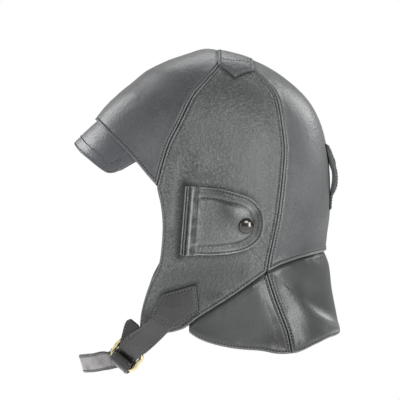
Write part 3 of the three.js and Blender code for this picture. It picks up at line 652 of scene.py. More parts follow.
hemBack = lifted([curtain["crossSeam"][-1]] + [row for row in curtain["hem"] if row[0] > curtain["corner"]])
hemMiddle = np.array((0, *curtain["hemMiddle"]), float)
hemAround = laid(np.vstack([hemBack, hemMiddle, mirrored(hemBack[::-1])]), 400)
farSeam = mirrored(crossSeam)
edges = [(aroundBack, "under"), (hemAround, "hem"), (crossSeam, "seam"), (farSeam, "seam")]
made = leatherPanel("curtainBack", (aroundBack, hemAround, crossSeam, farSeam), 250, 56, edges, 70, soft=0.25)
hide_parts("curtain_back")
rows = [(hemAround, hemRow, 2, 1), (crossSeam, seamRow, 2, 1), (farSeam, seamRow, 2, 1)]
sewPanel(edges, 70, (0, 110, -215), rows)
print("curtain made")


# visor
visor = {
    "edge": [(0, -122.8, -81.6), (25, -116.8, -88.8), (42, -107.3, -96.2), (53, -97.9, -103.4),
             (61, -87, -110.4)],
    "size": (180, 27),     # along the free edge and from the brow down to it, mm
    "sewnSize": (176, 27.5),   # the same along the stitched rows
    "thickness": 1.8,
    "tuck": 1.2,           # hidden under the brow
    "endTrim": 0.006,
    "cornerStart": 0.72,   # share of the depth where the rounded corner starts
    "cornerCut": 0.045,
    "rows": (1.4, 8.6),    # stitched rows, mm in from the free edge
    "paintedHighlight": [(-102, -90, 16, 12, -0.6)],   # painted highlight: y, z, half width, half height and shade
    "waves": (0.3, 22),    # height and size of its soft bumps
    # how far the face lies under the brow, by the share of the depth
    "sink": [(0, 1.3), (0.25, 0.55), (0.6, 0.3), (1, 0.3)],
    # by the distance from the rim
    "rim": [(0, -0.8), (0.2, -0.35), (0.6, 0.0), (1.0, 0.1), (1.4, -0.22), (1.8, 0.1), (4, 0.3), (7.6, 0.2),
            (8.2, 0.05), (8.6, -0.25), (9.0, 0.2), (12, 0.35), (16, 0.2)],
    # painted shade in the stitched rows and the dip at the rim, painted highlight just inside the rim
    "rimDark": [(0, 0.2), (0.4, -0.3), (1.0, -0.2), (1.4, 0.5), (1.8, -0.1), (4, 0), (8.1, 0), (8.6, 0.9),
                (9.0, 0), (20, 0)],
}
browHalf = lifted(crown["browSeam"][1:])
visorBase = curveThrough(laid(np.vstack([browHalf, browMiddle, mirrored(browHalf[::-1])]), 60), 800)
freeHalf = np.array(visor["edge"], float)
visorFree = curveThrough(np.vstack([freeHalf[:0:-1], mirrored(freeHalf)]), 800)


def visorPoint(s, t):
    return alongLine(visorBase, s) * (1 - t[..., None]) + alongLine(visorFree, s) * t[..., None]


def visorPlace(share, t):  # share runs from corner to corner, with the front corners rounded off
    past = np.maximum((t - visor["cornerStart"]) / (1 - visor["cornerStart"]), 0)
    trim = visor["endTrim"] + visor["cornerCut"] * (1 - np.sqrt(np.maximum(1 - past**2, 0)))
    s = trim + (1 - 2 * trim) * share
    near = np.clip(s, 0.05, 0.95)
    half = np.full_like(near, 0.5)
    across = visorPoint(near + 0.05, half) - visorPoint(near - 0.05, half)
    down = visorPoint(near, half * 2) - visorPoint(near, half * 0)
    normal = unit(np.cross(across, down))
    normal *= np.sign(normal[..., 2:])
    start = -visor["tuck"] / visor["size"][1]
    return visorPoint(s, start + t * (1 - start)), normal


def visorHeight(p, away):
    height, size = visor["waves"]
    return curveValue(visor["rim"], away) + height * softNoise(p, size, 5)


share, t = (stations(whole, count) / whole for whole, count in zip(visor["size"], (96, 14)))
shareGrid, tGrid = np.meshgrid(share, t)
base, normal = visorPlace(shareGrid, tGrid)
rim = np.linspace(0, 1, 300)
rimLine = np.vstack([visorPlace(0 * rim, rim)[0], visorPlace(rim, 0 * rim + 1)[0][1:],
                     visorPlace(0 * rim + 1, rim[::-1])[0][1:]])
away, _ = distanceTo(rimLine, base)
dark = curveValue(visor["rimDark"], away) + bySpots(base[..., 1], base[..., 2], visor["paintedHighlight"])
sunk = curveValue(visor["sink"], tGrid)
outer = base + normal * (visorHeight(base, away) - sunk)[..., None]
under = sunk + visor["thickness"] + curveValue([(0, -0.9), (0.8, 0), (9, 0)], away)   # thinner at the rim
inner = base - normal * under[..., None]
made = sheetPiece("visorLeather", outer, inner, dark)
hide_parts("visor")
for inset in visor["rows"]:
    u = np.linspace(0, 1, 400)
    edge, level = inset / visor["sewnSize"][0], 1 - inset / visor["sewnSize"][1]
    path = np.vstack([   # down one side, along the free edge and up the other side
        np.stack([0 * u + edge, u * level], -1),
        np.stack([edge + (1 - 2 * edge) * u, 0 * u + level], -1),
        np.stack([0 * u + 1 - edge, level * u[::-1]], -1),
    ])
    spot, out = visorPlace(path[:, 0], path[:, 1])
    fine = evenly(spot, 160)
    out = readAlong(distanceTo(spot, fine)[1], lengthsOf(spot), out)
    lift = visorHeight(fine, distanceTo(rimLine, fine)[0]) - visor["sink"][-1][1] + stitching["sink"]
    addRow(fine[3:-3] + out[3:-3] * lift[3:-3, None], out[3:-3])
print("visor made")


# pieces laid on the leather
def overShell(y, z, height):
    p = sidePoint(y, z)
    normal = slopeAt(p)
    return p + normal * (foldHeight(p) + height)[..., None], normal


def roundedOutline(corners, radius, count):  # closed line of y, z with its corners rounded off
    p = np.array(corners, float)
    pieces = []
    for before, corner, after in zip(np.roll(p, 1, 0), p, np.roll(p, -1, 0)):
        toBefore, toAfter = before - corner, after - corner
        r1 = min(radius, 0.45 * np.linalg.norm(toBefore))
        r2 = min(radius, 0.45 * np.linalg.norm(toAfter))
        start, end = corner + unit(toBefore) * r1, corner + unit(toAfter) * r2
        t = np.linspace(0, 1, 8)[:, None]
        pieces.append((1 - t) ** 2 * start + 2 * t * (1 - t) * corner + t**2 * end)
    line = np.vstack(pieces)
    return evenly(np.vstack([line, line[:1]]), count)[:-1]


# mm in from the outline to the first rings of a laid piece
ringStations = np.array([0, 0.25, 0.55, 0.9, 1.3, 1.75, 2.15, 2.5, 2.85, 3.3, 4, 5, 6, 6.7, 7.2, 7.6, 8.1, 9])


# closed body over a closed outline: topOf and bottomOf give the height above the leather and the shade
def discPiece(name, outline, middle, rings, topOf, bottomOf, mirror=False):
    count = len(outline)
    reach = np.linalg.norm(outline - middle, axis=1)
    shares = [1 - away / reach for away in ringStations if away < reach.min() * 0.55]
    shares += [shares[-1] * (1 - i / rings) for i in range(1, rings)]
    plane = middle + (outline - middle)[None] * np.array(shares)[..., None]
    flat = np.vstack([plane.reshape(-1, 2), middle])
    bodies, darks = [], []
    for heightOf in (topOf, bottomOf):
        height, dark = heightOf(flat)
        bodies.append(overShell(flat[:, 0], flat[:, 1], height)[0])
        darks.append(dark)
    each = len(flat)
    k = np.arange(each - 1).reshape(-1, count)
    after = np.roll(k, -1, axis=1)
    faces = np.stack([k[:-1], after[:-1], after[1:], k[1:]], -1).reshape(-1, 4).tolist()
    faces += (np.stack([k[:-1], k[1:], after[1:], after[:-1]], -1).reshape(-1, 4) + each).tolist()
    faces += [(int(a), int(b), each - 1) for a, b in zip(k[-1], after[-1])]
    faces += [(int(b) + each, int(a) + each, 2 * each - 1) for a, b in zip(k[-1], after[-1])]
    faces += [(int(a), int(a) + each, int(b) + each, int(b)) for a, b in zip(k[0], after[0])]
    points = np.vstack(bodies)
    if mirror:
        points = mirrored(points)
    return placeObject(name, points, faces, np.concatenate(darks))


def insetLine(closedLine, away, count=400):  # the closed line moved inward
    line = evenly(np.vstack([closedLine, closedLine[:1]]), count)[:-1]
    run = unit(np.roll(line, -1, 0) - np.roll(line, 1, 0))
    side = np.stack([-run[:, 1], run[:, 0]], -1)
    side *= np.sign(((line.mean(0) - line) * side).sum())
    moved = line + side * away
    gap, _ = distanceTo(np.vstack([line, line[:1]]), moved)
    return moved[gap > away - 0.12]   # without the loops that sharp corners make


def sewnLine(path, closed):
    return evenly(np.vstack([path, path[:1]]) if closed else path, max(int(lengthsOf(path)[-1] / 1.2), 4))


def stitchFlat(path, heightOf, closed=False, mirror=False):
    line = sewnLine(path, closed)
    height, _ = heightOf(line)
    spot, normal = overShell(line[:, 0], line[:, 1], height + stitching["sink"])
    addRow(spot, normal, mirror)


earCover = {
    "round": [(-21.5, -118.4), (-6, -119), (9, -120.5), (19, -123.1), (31.4, -127.4), (38.9, -132.9),
              (43.9, -140.9), (45.6, -152.3), (42.3, -163.9), (35, -171.2), (24, -175.7), (4.1, -178.3),
              (-11, -178.3), (-26, -177.9)],
    "sewn": [(-26, -177.9), (-24.5, -158.6), (-23, -138.7), (-21.5, -118.4)],
    "middle": (10, -149.2),
    "gap": 0.8,
    "wall": 2.4,
    "roll": (3.2, -19, 5),       # height, y and half width of the roll along the sewn side
    "rim": [(0, -1.4), (0.25, -0.4), (0.7, 0.9), (1.2, 1.3), (1.8, 0.9), (2.4, 0.1), (2.9, 0.4), (3.7, 0.9),
            (5.0, 0.7), (6.4, 0.2), (7.4, -0.1)],
    # painted shade in the dips and the stitched rows, painted highlight on the raised rims, by the distance
    # from the outline and from the inner row
    "rimDark": [(0, 0.7), (0.35, -0.3), (1.0, -1.2), (1.8, -0.5), (2.2, 0.9), (2.6, 0.9), (2.9, 0),
                (3.6, -0.1), (5, 0.2), (7.5, 0.1), (9, 0), (30, 0)],
    "rowDark": [(0, 0.95), (0.3, 0.8), (0.6, 0), (1.6, -0.15), (5, 0)],
    # inner stitched row, and the pillow inside it by the distance from that row
    "inner": [(-12, -129.6), (-4.8, -128.6), (3.9, -129.5), (10, -130.9), (16.1, -132.3), (22.3, -133.8),
              (28.5, -136), (32.2, -138.7), (34.9, -143.5), (36.5, -148.4), (36.8, -153.3), (35.6, -157.6),
              (33.4, -160.7), (29.8, -163.8), (24.8, -166.3), (18.6, -167.9), (10, -169.1), (1.4, -169.8),
              (-8.5, -170.3), (-16, -170.2)],
    "innerFrom": [(-30, 9.4), (10, 9.6), (36, 8.2), (46, 8)],   # mm from the rim to the pillow, by y
    "pillow": [(0, -0.8), (0.5, -0.2), (1.2, 0.6), (2.5, 1.2), (5, 1.6), (9, 1.5), (20, 1.2)],
    # fold across the pillow: y, z of both ends, its widths as on the crown, and its height
    "ridge": ([(9, -130), (24, -150)], 3.5, 9, 2.8),
    # y, z, half width, half height and shade, as on the crown: painted shade above 0, painted highlight below
    # 0
    "spots": [(13, -141, 6, 9, 0.55), (29, -139, 8, 4.5, -1.1), (4, -119, 14, 3, 0.6), (42, -141, 5, 6, 0.5),
              (9, -124, 15, 3, 0.6), (40.5, -154, 3.5, 16, 0.7), (-12, -154, 5, 12, -0.35),
              (16, -173.5, 18, 3, -0.5), (26, -160, 8, 5, -0.3), (6, -160, 14, 10, -0.15)],
    # height, and painted shade with painted highlights on its ridges, by the distance from the sewn side,
    # which ripples most at one distance
    "sewnSide": [(0, -1.5), (0.4, 0.4), (1.0, 1.1), (1.6, 0.5), (2.1, -0.9), (2.6, 0.5), (3.1, 1.0),
                 (3.5, 0.3), (4.0, -1.3), (5.2, -1.1), (5.9, 0.9), (6.7, 2.5), (7.5, 2.7), (8.4, 1.8),
                 (9.4, -0.6), (10.4, -1.2), (11.4, -0.6), (12.6, 0.7), (13.7, 1.1), (15.5, 0.9), (18, 0.9)],
    "sewnDark": [(0, 0.6), (0.4, -0.2), (1.0, -1), (1.7, 0.1), (2.1, 0.9), (2.5, -0.2), (3.1, -1), (3.6, 0.3),
                 (4.1, 1), (4.9, 0.6), (5.4, -0.7), (6.2, -1.6), (7.2, -1.5), (8.2, -0.3), (9.6, 0),
                 (10.4, 0.4), (11.2, 0), (12.4, -0.3), (13.7, -0.5), (16, 0), (30, 0)],
    # ripple beside the sewn rows: its height, the distance and width where it is strongest, its size, and the
    # painted shade that follows it
    "ripple": {"height": 0.35, "away": 7.5, "width": 2.5, "size": 3.2, "dark": 0.7},
    # stitched rows, mm in from the outline, and mm from the sewn side
    "rimRow": 2.4,
    "sewnRows": (3.5, 10.4),
}
coverRound = curveThrough(earCover["round"], 300)
coverSewn = curveThrough(earCover["sewn"], 80)
coverInner = curveThrough(earCover["inner"], 300)
coverOutline = np.vstack([coverRound[:-1], coverSewn[:-1]])


def coverTop(p):
    rimAway, _ = distanceTo(coverRound, p)
    sewnAway, alongSewn = distanceTo(coverSewn, p)
    rowAway, _ = distanceTo(coverInner, p)
    rowSide = np.where(rimAway + rowAway > 12.5, 1, np.where(rimAway > rowAway, 1, -1))
    inside = (rimAway > curveValue(earCover["innerFrom"], p[:, 0])) | (rowSide * rowAway > 6)
    bySide = np.clip((sewnAway - 11) / 4, 0, 1)   # 0 beside the sewn side, 1 over the rest of the cover
    rim = curveValue(earCover["rim"], rimAway)
    band = np.minimum(rim, np.maximum(0.9 * rowAway - 0.5, -0.5))
    sewn = curveValue(earCover["sewnSide"], sewnAway)
    corner = np.clip(rimAway / 2.0, 0, 1)
    height = np.where(inside, curveValue(earCover["pillow"], rowAway), band) * bySide
    height += (1 - bySide) * (sewn * corner + np.minimum(rim, 0.3) * (1 - corner))
    look = earCover["ripple"]
    ripple = softNoise(np.column_stack([alongSewn, 0.2 * sewnAway, 0 * sewnAway]), look["size"], 23)
    # painted shade and painted highlights follow the rims, the rows, the sewn side's ridges and the spots
    rowDark = curveValue(earCover["rowDark"], rowAway) * (rimAway > 3.5)
    sewnDark = curveValue(earCover["sewnDark"], sewnAway) + look["dark"] * ripple * (sewnAway > 5)
    dark = bySide * (curveValue(earCover["rimDark"], rimAway) + rowDark) + (1 - bySide) * sewnDark
    dark += bySpots(p[:, 0], p[:, 1], earCover["spots"])
    rise, rollY, rollWidth = earCover["roll"]
    height += rise * np.exp(-(((p[:, 0] - rollY) / rollWidth) ** 2))
    crest, nearWidth, farWidth, rise = earCover["ridge"]
    ridge, _ = ridgeAt(p, np.array(crest, float), nearWidth, farWidth)
    height += inside * np.clip(rowAway / 3, 0, 1) * rise * ridge
    flat = np.column_stack([p, 0 * p[:, 0]])
    height += 0.3 * softNoise(flat, 16, 21) + 0.16 * softNoise(flat, 6, 22)
    nearRow = np.exp(-(((sewnAway - look["away"]) / look["width"]) ** 2))
    height += (1 - bySide) * look["height"] * ripple * nearRow
    return earCover["gap"] + earCover["wall"] + height, np.clip(dark, -1.2, 1)


def coverBottom(p):
    return np.full(len(p), earCover["gap"]), np.zeros(len(p))


strapPatch = {
    "corners": [(-41.2, -211.6), (-12, -203.2), (-9.4, -227.7), (-29.3, -242.1), (-50.1, -231.3)],
    "middle": (-29.9, -222.7),
    "gap": 0.8,
    "wall": 1.8,
    "lift": 3.4,           # its lower front stands off over the root of the strap
    "row": 2.3,            # stitched row, mm in from the edge
    "rim": [(0, -1.0), (0.3, -0.4), (0.8, 0.1), (1.3, 0.2), (1.9, 0.0), (2.3, -0.35), (2.8, 0.1), (4, 0.3),
            (9, 0.5), (20, 0.6)],
    # painted shade at the edge and in the stitched row, painted highlight on the strip between
    "rimDark": [(0, 0.9), (0.4, 0.4), (1.1, -0.4), (1.8, -0.1), (2.3, 0.6), (2.8, 0.1), (3.5, -0.1), (6, 0)],
}
patchOutline = roundedOutline(strapPatch["corners"], 3.0, 220)


def patchLift(p):  # nothing at the upper rear corner, the full lift at the lower front
    down = np.clip((-205 - p[:, 1] - 0.1 * (p[:, 0] + 30)) / 18, 0, 1)
    aside = np.clip((p[:, 0] + 8) / -26, 0, 1)
    aside = aside * aside * (3 - 2 * aside)
    return strapPatch["gap"] + strapPatch["lift"] * down * aside


def patchTop(p):
    away, _ = distanceTo(np.vstack([patchOutline, patchOutline[:1]]), p)
    flat = np.column_stack([p, 0 * p[:, 0]])
    height = curveValue(strapPatch["rim"], away) + 0.25 * softNoise(flat, 14, 31)
    return patchLift(p) + strapPatch["wall"] + height, curveValue(strapPatch["rimDark"], away)


def patchBottom(p):
    return patchLift(p), np.zeros(len(p))


snap = {"y": 29.4, "z": -152.2, "radius": 6.8, "height": 3.6, "rim": 0.7, "sunk": 0.9}   # sunk into the cover


def domePiece(name, centre, axis, radius, height, rim, sides=64):  # round cap with a rolled rim
    profile = [(0.0, 0.0), (radius * 0.96, 0.0), (radius, 0.15 * rim), (radius, 0.75 * rim)]
    for a in np.linspace(0, pi / 2, 14):
        profile.append((radius * 0.97 * cos(a), rim + (height - rim) * sin(a)))
    profile[-1] = (0.0, height)
    profile = np.array(profile)
    axis = unit(np.array(axis, float))
    one = unit(np.cross(axis, (0.3, 0.2, 0.9)))
    two = np.cross(axis, one)
    around = np.linspace(0, 2 * pi, sides, endpoint=False)
    circle = np.outer(np.cos(around), one) + np.outer(np.sin(around), two)
    points = [centre]
    for r, h in profile[1:-1]:
        points += list(centre + axis * h + r * circle)
    points.append(centre + axis * height)
    faces = []
    for ring in range(len(profile) - 2):
        for i in range(sides):
            a, b = 1 + ring * sides + i, 1 + ring * sides + (i + 1) % sides
            if ring == 0:
                faces.append((0, b, a))
            if ring < len(profile) - 3:
                faces.append((a, b, b + sides, a + sides))
            else:
                faces.append((a, b, len(points) - 1))
    return placeObject(name, points, faces)


for side, mirror in (("Left", False), ("Right", True)):
    made = discPiece("earCover" + side, coverOutline, np.array(earCover["middle"], float), 40, coverTop,
                     coverBottom, mirror)
    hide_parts("ear_cover_" + side.lower())
    line = insetLine(coverOutline, earCover["rimRow"])
    inside = distanceTo(coverSewn, line)[0] > 5.2   # the row stops short of the sewn side
    first = int(np.argmax(inside & ~np.roll(inside, 1)))
    stitchFlat(np.roll(line, -first, 0)[np.roll(inside, -first)], coverTop, mirror=mirror)
    stitchFlat(coverInner, coverTop, mirror=mirror)
    run = unit(np.gradient(coverSewn, axis=0))
    for away in earCover["sewnRows"]:
        line = coverSewn + np.stack([run[:, 1], -run[:, 0]], -1) * away
        stitchFlat(line[4:-4], coverTop, mirror=mirror)

    made = discPiece("strapPatch" + side, patchOutline, np.array(strapPatch["middle"], float), 16, patchTop,
                     patchBottom, mirror)
    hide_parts("strap_patch_" + side.lower())
    stitchFlat(insetLine(patchOutline, strapPatch["row"]), patchTop, closed=True, mirror=mirror)

    seat = sidePoint(np.array(snap["y"]), np.array(snap["z"]))
    out = slopeAt(seat)
    rise, _ = coverTop(np.array([(snap["y"], snap["z"])]))
    centre = seat + out * (foldHeight(seat) + rise[0] - snap["sunk"])
    if mirror:
        centre, out = mirrored(centre), mirrored(out)
    made = domePiece("earSnap" + side, centre, out, snap["radius"], snap["height"] + snap["sunk"],
                     snap["rim"] + snap["sunk"])
    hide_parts("ear_snap_" + side.lower())
print("ear covers, patches and snaps made")


# patch over the top
crownPatch = {
    "tip": (62.6, 21),
    "frontCorner": (53.6, 6.7),
    "backCorner": (49.1, 37.8),
    "gap": 0.15,
    "wall": 1.5,
    "row": 2.4,            # stitched row, mm in from the edge
    "crossRow": [(44.9, 9.2), (45.3, 19.1), (35.7, 35.3)],
    "rim": [(0, -1.0), (0.3, -0.4), (0.8, 0.1), (1.4, 0.25), (2.0, 0.0), (2.4, -0.35), (2.9, 0.05), (5, 0.3),
            (12, 0.5)],
    # painted shade at the edge and in the stitched row, painted highlight on the strip between
    "rimDark": [(0, 0.7), (0.4, 0), (1.3, -0.6), (2.0, -0.1), (2.4, 0.6), (2.9, 0), (4, -0.2), (7, 0)],
}


patchHalf = np.array([crownPatch[name] for name in ("frontCorner", "tip", "backCorner")], float)
line = np.vstack([patchHalf, patchHalf[::-1] * (-1, 1), patchHalf[:1]])
sides = [np.linspace(a, b, 60, endpoint=False) for a, b in zip(line, line[1:])]
crownPatchLine = np.vstack(sides + [line[:1]])
crownCross = curveThrough(crownPatch["crossRow"], 60)


def crownPatchHeight(p):
    away, _ = distanceTo(crownPatchLine, p)
    cross, _ = distanceTo(crownCross, p * np.where(p[..., :1] < 0, (-1, 1), (1, 1)))
    height = curveValue(crownPatch["rim"], away)
    height -= 0.35 * np.exp(-((cross / 0.45) ** 2)) * (away > 2.4)
    height += 0.3 * softNoise(np.concatenate([p, 0 * p[..., :1]], -1), 15, 3)
    # painted shade along the cross rows
    groove = 0.5 * np.exp(-((cross / 0.4) ** 2)) * (away > 2)
    dark = np.maximum(curveValue(crownPatch["rimDark"], away), groove)
    return crownPatch["gap"] + crownPatch["wall"] + height, dark


def overTop(p, height):
    spot = topPoint(p[..., 0], p[..., 1])
    normal = slopeAt(spot)
    return spot + normal * height[..., None], normal


frontY, backY = patchHalf[0, 1], patchHalf[-1, 1]
y = frontY + stations(backY - frontY, 10)
reach = np.interp(y, patchHalf[:, 1], patchHalf[:, 0])
rows = stations(2 * reach, 70) / (2 * reach)[:, None]
x = (reach[:, None] * (1 - 2 * rows)).T
plane = np.stack([x, np.broadcast_to(y, x.shape)], -1)
height, dark = crownPatchHeight(plane)
outer, _ = overTop(plane, height)
inner, _ = overTop(plane, np.full(height.shape, crownPatch["gap"] - 0.4))
made = sheetPiece("crownPatch", outer, inner, dark)
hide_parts("crown_patch")


def stitchTop(path, closed=False):
    line = sewnLine(path, closed)
    height, _ = crownPatchHeight(line)
    addRow(*overTop(line, height + stitching["sink"]))


stitchTop(insetLine(crownPatchLine[:-1], crownPatch["row"], 700), closed=True)
for sign in (-1, 1):
    stitchTop(crownCross * (sign, 1))
print("patch over the top made")


# straps and buckle
straps = {
    "thickness": 2.0,
    "row": 2.2,            # stitched row, mm in from each edge
    "step": 1.1,           # mm from one cross line to the next
    "waves": (0.22, 17),   # height and size of the soft waves
    # upper edge x, y, z and lower edge x, y, z of each row
    "buckle": [
        (74.2, -43.8, -227.7, 78.2, -28, -238.3),
        (70.6, -50.4, -233.4, 75.8, -34.6, -243.6),
        (63.8, -60.2, -242.1, 70.9, -43.4, -252.7),
        (57.5, -67.7, -247.5, 64, -54.8, -263.6),
        (52, -74.7, -252.9, 57.5, -61.7, -269.1),
    ],
    "chin": [
        (-74.2, -43.8, -227.7, -78.2, -28, -238.3),
        (-70.6, -50.4, -233.4, -75.8, -34.6, -243.6),
        (-65, -60.3, -244.8, -69, -47.9, -255.9),
        (-55, -72.8, -262.5, -57, -61.8, -274.9),
        (-46, -85.1, -270.9, -47, -75.7, -284.9),
        (-36, -96.6, -273.7, -36, -91.2, -289.5),
        (-24, -107.4, -273.4, -24, -102.9, -289.4),
        (0, -117.1, -272.2, 0, -112.6, -288.4),
        (14, -114.4, -270.7, 14, -109.1, -287),
        (26, -105.1, -268.7, 27, -100, -284.9),
        (33.5, -95.1, -266.1, 35, -89.6, -282),
    ],
    # past the bar of the buckle: along, across, out and half width, measured from the middle of the bar
    "fold": [
        (-12, 1.2, -0.4, 10.2), (-6.5, 0.6, -2.8, 10.2), (0, 0.4, -3.9, 10.2), (3.2, 0.4, -2.7, 10.2),
        (4.2, 0.4, 0, 10.2), (3.2, 0.4, 2.8, 10.2), (0, 0.4, 4.3, 10.2), (-4, 0.4, 3.7, 10.2),
        (-7.5, 0.4, 1.8, 10.2),
    ],
    "tail": [
        (0, -2.5, -6.6, 8.5), (-6.5, -2.5, -5.6, 8.5), (-12, -2.7, -3.9, 8.5), (-16, -3.4, -3.4, 8.5),
        (-22, -5.2, -4, 8.5), (-29, -7.6, -5.2, 8.4), (-34, -9.2, -6.1, 7.2), (-37.4, -9.4, -6.6, 4.6),
    ],
    # height over the middle of the strap by the distance from its edge
    "rim": [(0, -0.75), (0.25, -0.3), (0.6, -0.02), (1.2, 0.05), (1.8, 0.0), (2.2, -0.25), (2.6, 0.0),
            (4, 0.1), (9, 0.15)],
    # painted shade at the edge and in the stitched rows, a little painted highlight between
    "rimDark": [(0, 0.6), (0.5, 0.3), (1.2, -0.1), (1.8, 0.1), (2.2, 0.5), (2.6, 0.1), (3.5, 0), (20, 0)],
    # by the share of the length: painted shade on the buckle strap before its roll and on it, with a painted
    # highlight streak across the roll; darker towards the chin strap's tail; painted sheen on the chin
    # strap's face
    "buckleShade": [(0, 0), (0.45, 0), (0.58, 0.35), (0.65, 0.8), (0.72, 1), (0.8, 0.85), (0.85, 0.7),
                    (0.865, -0.6), (0.885, -1.2), (0.905, 0.2), (0.93, 0.8), (1, 0.9)],
    "chinShade": [(0, 0), (0.3, 0), (0.84, 0), (0.88, 0.8), (1, 0.8)],
    "chinPale": [(0, 0.1), (0.3, 0.1), (0.5, 0.9), (0.8, 0.9), (0.86, 0.1), (1, 0)],
}
buckle = {
    # both ends of the bar, and the way out from the head
    "up": (42, -85.6, -269.3),
    "low": (48, -71.3, -280.4),
    "out": (0.823, -0.546, -0.16),
    "back": (-15.5, -6.2),   # from the bar to the other side of the frame, along the strap and out
    "halfAcross": 12.8,
    "corner": 3,
    "wire": 2.0,             # half the thickness of the wire
}
barUp, barLow, barOut = (np.array(buckle[name], float) for name in ("up", "low", "out"))
barMiddle = (barUp + barLow) / 2
barAcross = unit(barLow - barUp)
barOut = unit(barOut - barAcross * (barOut @ barAcross))
barAlong = unit(np.cross(barAcross, barOut))


def atBar(along, across, out):
    return barMiddle + barAlong * along + barAcross * across + barOut * out


def strapEdges(rows, more):
    up = [row[:3] for row in rows] + [atBar(a, c - half, o) for a, c, o, half in more]
    low = [row[3:] for row in rows] + [atBar(a, c + half, o) for a, c, o, half in more]
    return np.array(up, float), np.array(low, float)


def pairedCurves(up, low, step):  # both edges through their own points, row for row, and their length
    both = [fineCurve(extended(line), 16) for line in (up, low)]
    along = lengthsOf((both[0] + both[1]) / 2)
    want = np.linspace(0, along[-1], int(along[-1] / step) + 1)
    return [readAlong(want, along, line) for line in both], along[-1]


def ribbon(name, up, low, seed, shade, pale=None):
    (upper, lower), length = pairedCurves(up, low, straps["step"])
    half = straps["thickness"] / 2
    waveHeight, waveSize = straps["waves"]
    across = lower - upper
    width = np.linalg.norm(across, axis=1)
    s = stations(width, 6) / width[:, None]
    base = upper[:, None] + across[:, None] * s[..., None]
    run = unit(np.gradient((upper + lower) / 2, axis=0))
    out = unit(np.cross(run, across))
    fromStart = np.linspace(0, length, len(upper))[:, None]
    away = np.minimum(np.minimum(s, 1 - s) * width[:, None], np.minimum(fromStart, length - fromStart))
    height = curveValue(straps["rim"], away)
    wave = waveHeight * softNoise(base, waveSize, seed)
    outer = base + out[:, None] * (half + height + wave)[..., None]
    inner = base - out[:, None] * (half + height - wave)[..., None]
    worn = None
    if pale is not None:   # the painted sheen leaves the stitched rim dark
        worn = curveValue(pale, fromStart / length) * np.clip((away - 1.2) / 0.8, 0, 1)
        worn *= 0.8 + 0.35 * softNoise(base, 6, seed + 1)
    dark = np.clip(curveValue(straps["rimDark"], away) + curveValue(shade, fromStart / length), -1, 1)
    made = sheetPiece(name, outer, inner, dark, worn=worn, underShade=dark)
    rise = half + curveValue(straps["rim"], straps["row"]) + stitching["sink"]
    for a, b in ((upper, lower), (lower, upper)):
        line = a + unit(b - a) * straps["row"]
        for sign in (1, -1):
            spot = line + out * (sign * rise + waveHeight * softNoise(line, waveSize, seed))[:, None]
            addRow(spot[2:-2], sign * out[2:-2])
    return made, length


up, low = strapEdges(straps["buckle"], straps["fold"])
made, buckleLength = ribbon("buckleStrap", up, low, 81, straps["buckleShade"])
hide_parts("buckle_strap")
up, low = strapEdges(straps["chin"], straps["tail"])
made, chinLength = ribbon("chinStrap", up, low, 82, straps["chinShade"], straps["chinPale"])
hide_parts("chin_strap")
print("straps made, lengths in mm:", round(buckleLength), round(chinLength))


def tubePiece(name, path, radius, sides=20):  # closed ring of wire
    path = evenly(path, 160)[:-1]
    run = unit(np.roll(path, -1, 0) - np.roll(path, 1, 0))
    flat = unit(np.cross(run, barOut))
    other = np.cross(run, flat)
    around = np.linspace(0, 2 * pi, sides, endpoint=False)
    turned = flat[:, None] * np.cos(around)[:, None] + other[:, None] * np.sin(around)[:, None]
    rings = path[:, None] + radius * turned
    k = np.arange(len(path) * sides).reshape(len(path), sides)
    nextRing, nextSide = np.roll(k, -1, 0), np.roll(k, -1, 1)
    faces = np.stack([k, nextRing, np.roll(nextRing, -1, 1), nextSide], -1).reshape(-1, 4).tolist()
    return placeObject(name, rings.reshape(-1, 3), faces)


def frameSpot(share, across):  # share 0 at the bar, 1 at the other side of the frame
    return atBar(buckle["back"][0] * share, across, buckle["back"][1] * share)


half, corner = buckle["halfAcross"], buckle["corner"]
cut = corner / 16
framePoints = [
    frameSpot(0, -half + corner), frameSpot(0, 0), frameSpot(0, half - corner),
    frameSpot(cut, half), frameSpot(0.5, half), frameSpot(1 - cut, half),
    frameSpot(1, half - corner), frameSpot(1, 0), frameSpot(1, -half + corner),
    frameSpot(1 - cut, -half), frameSpot(0.5, -half), frameSpot(cut, -half),
]
made = tubePiece("buckleFrame", curveThrough(framePoints, 400, closed=True), buckle["wire"])
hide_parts("buckle_frame")
print("buckle made")


# tab at the back
goggleTab = {
    # z, y of the inner face and y of the outer face
    "faces": [
        (-82.4, 103.9, 105.3), (-86.2, 104.4, 107.4), (-92.1, 105.5, 109.8), (-98.2, 106.9, 110.8),
        (-103.1, 108.6, 112.6), (-107.2, 110, 113.6), (-113.9, 110.4, 114.1), (-120.7, 109.5, 113.4),
        (-125.2, 108.5, 111.6), (-128.6, 107.8, 109.8), (-133.5, 107.6, 109), (-141.3, 107.4, 108.6),
    ],
    "width": 24,
    "row": 2.2,
    "snap": (111.2, -98.2),   # y, z
    "out": (0, 0.969, 0.247),
    "radius": 5.2, "height": 1.6, "rim": 0.5,
}


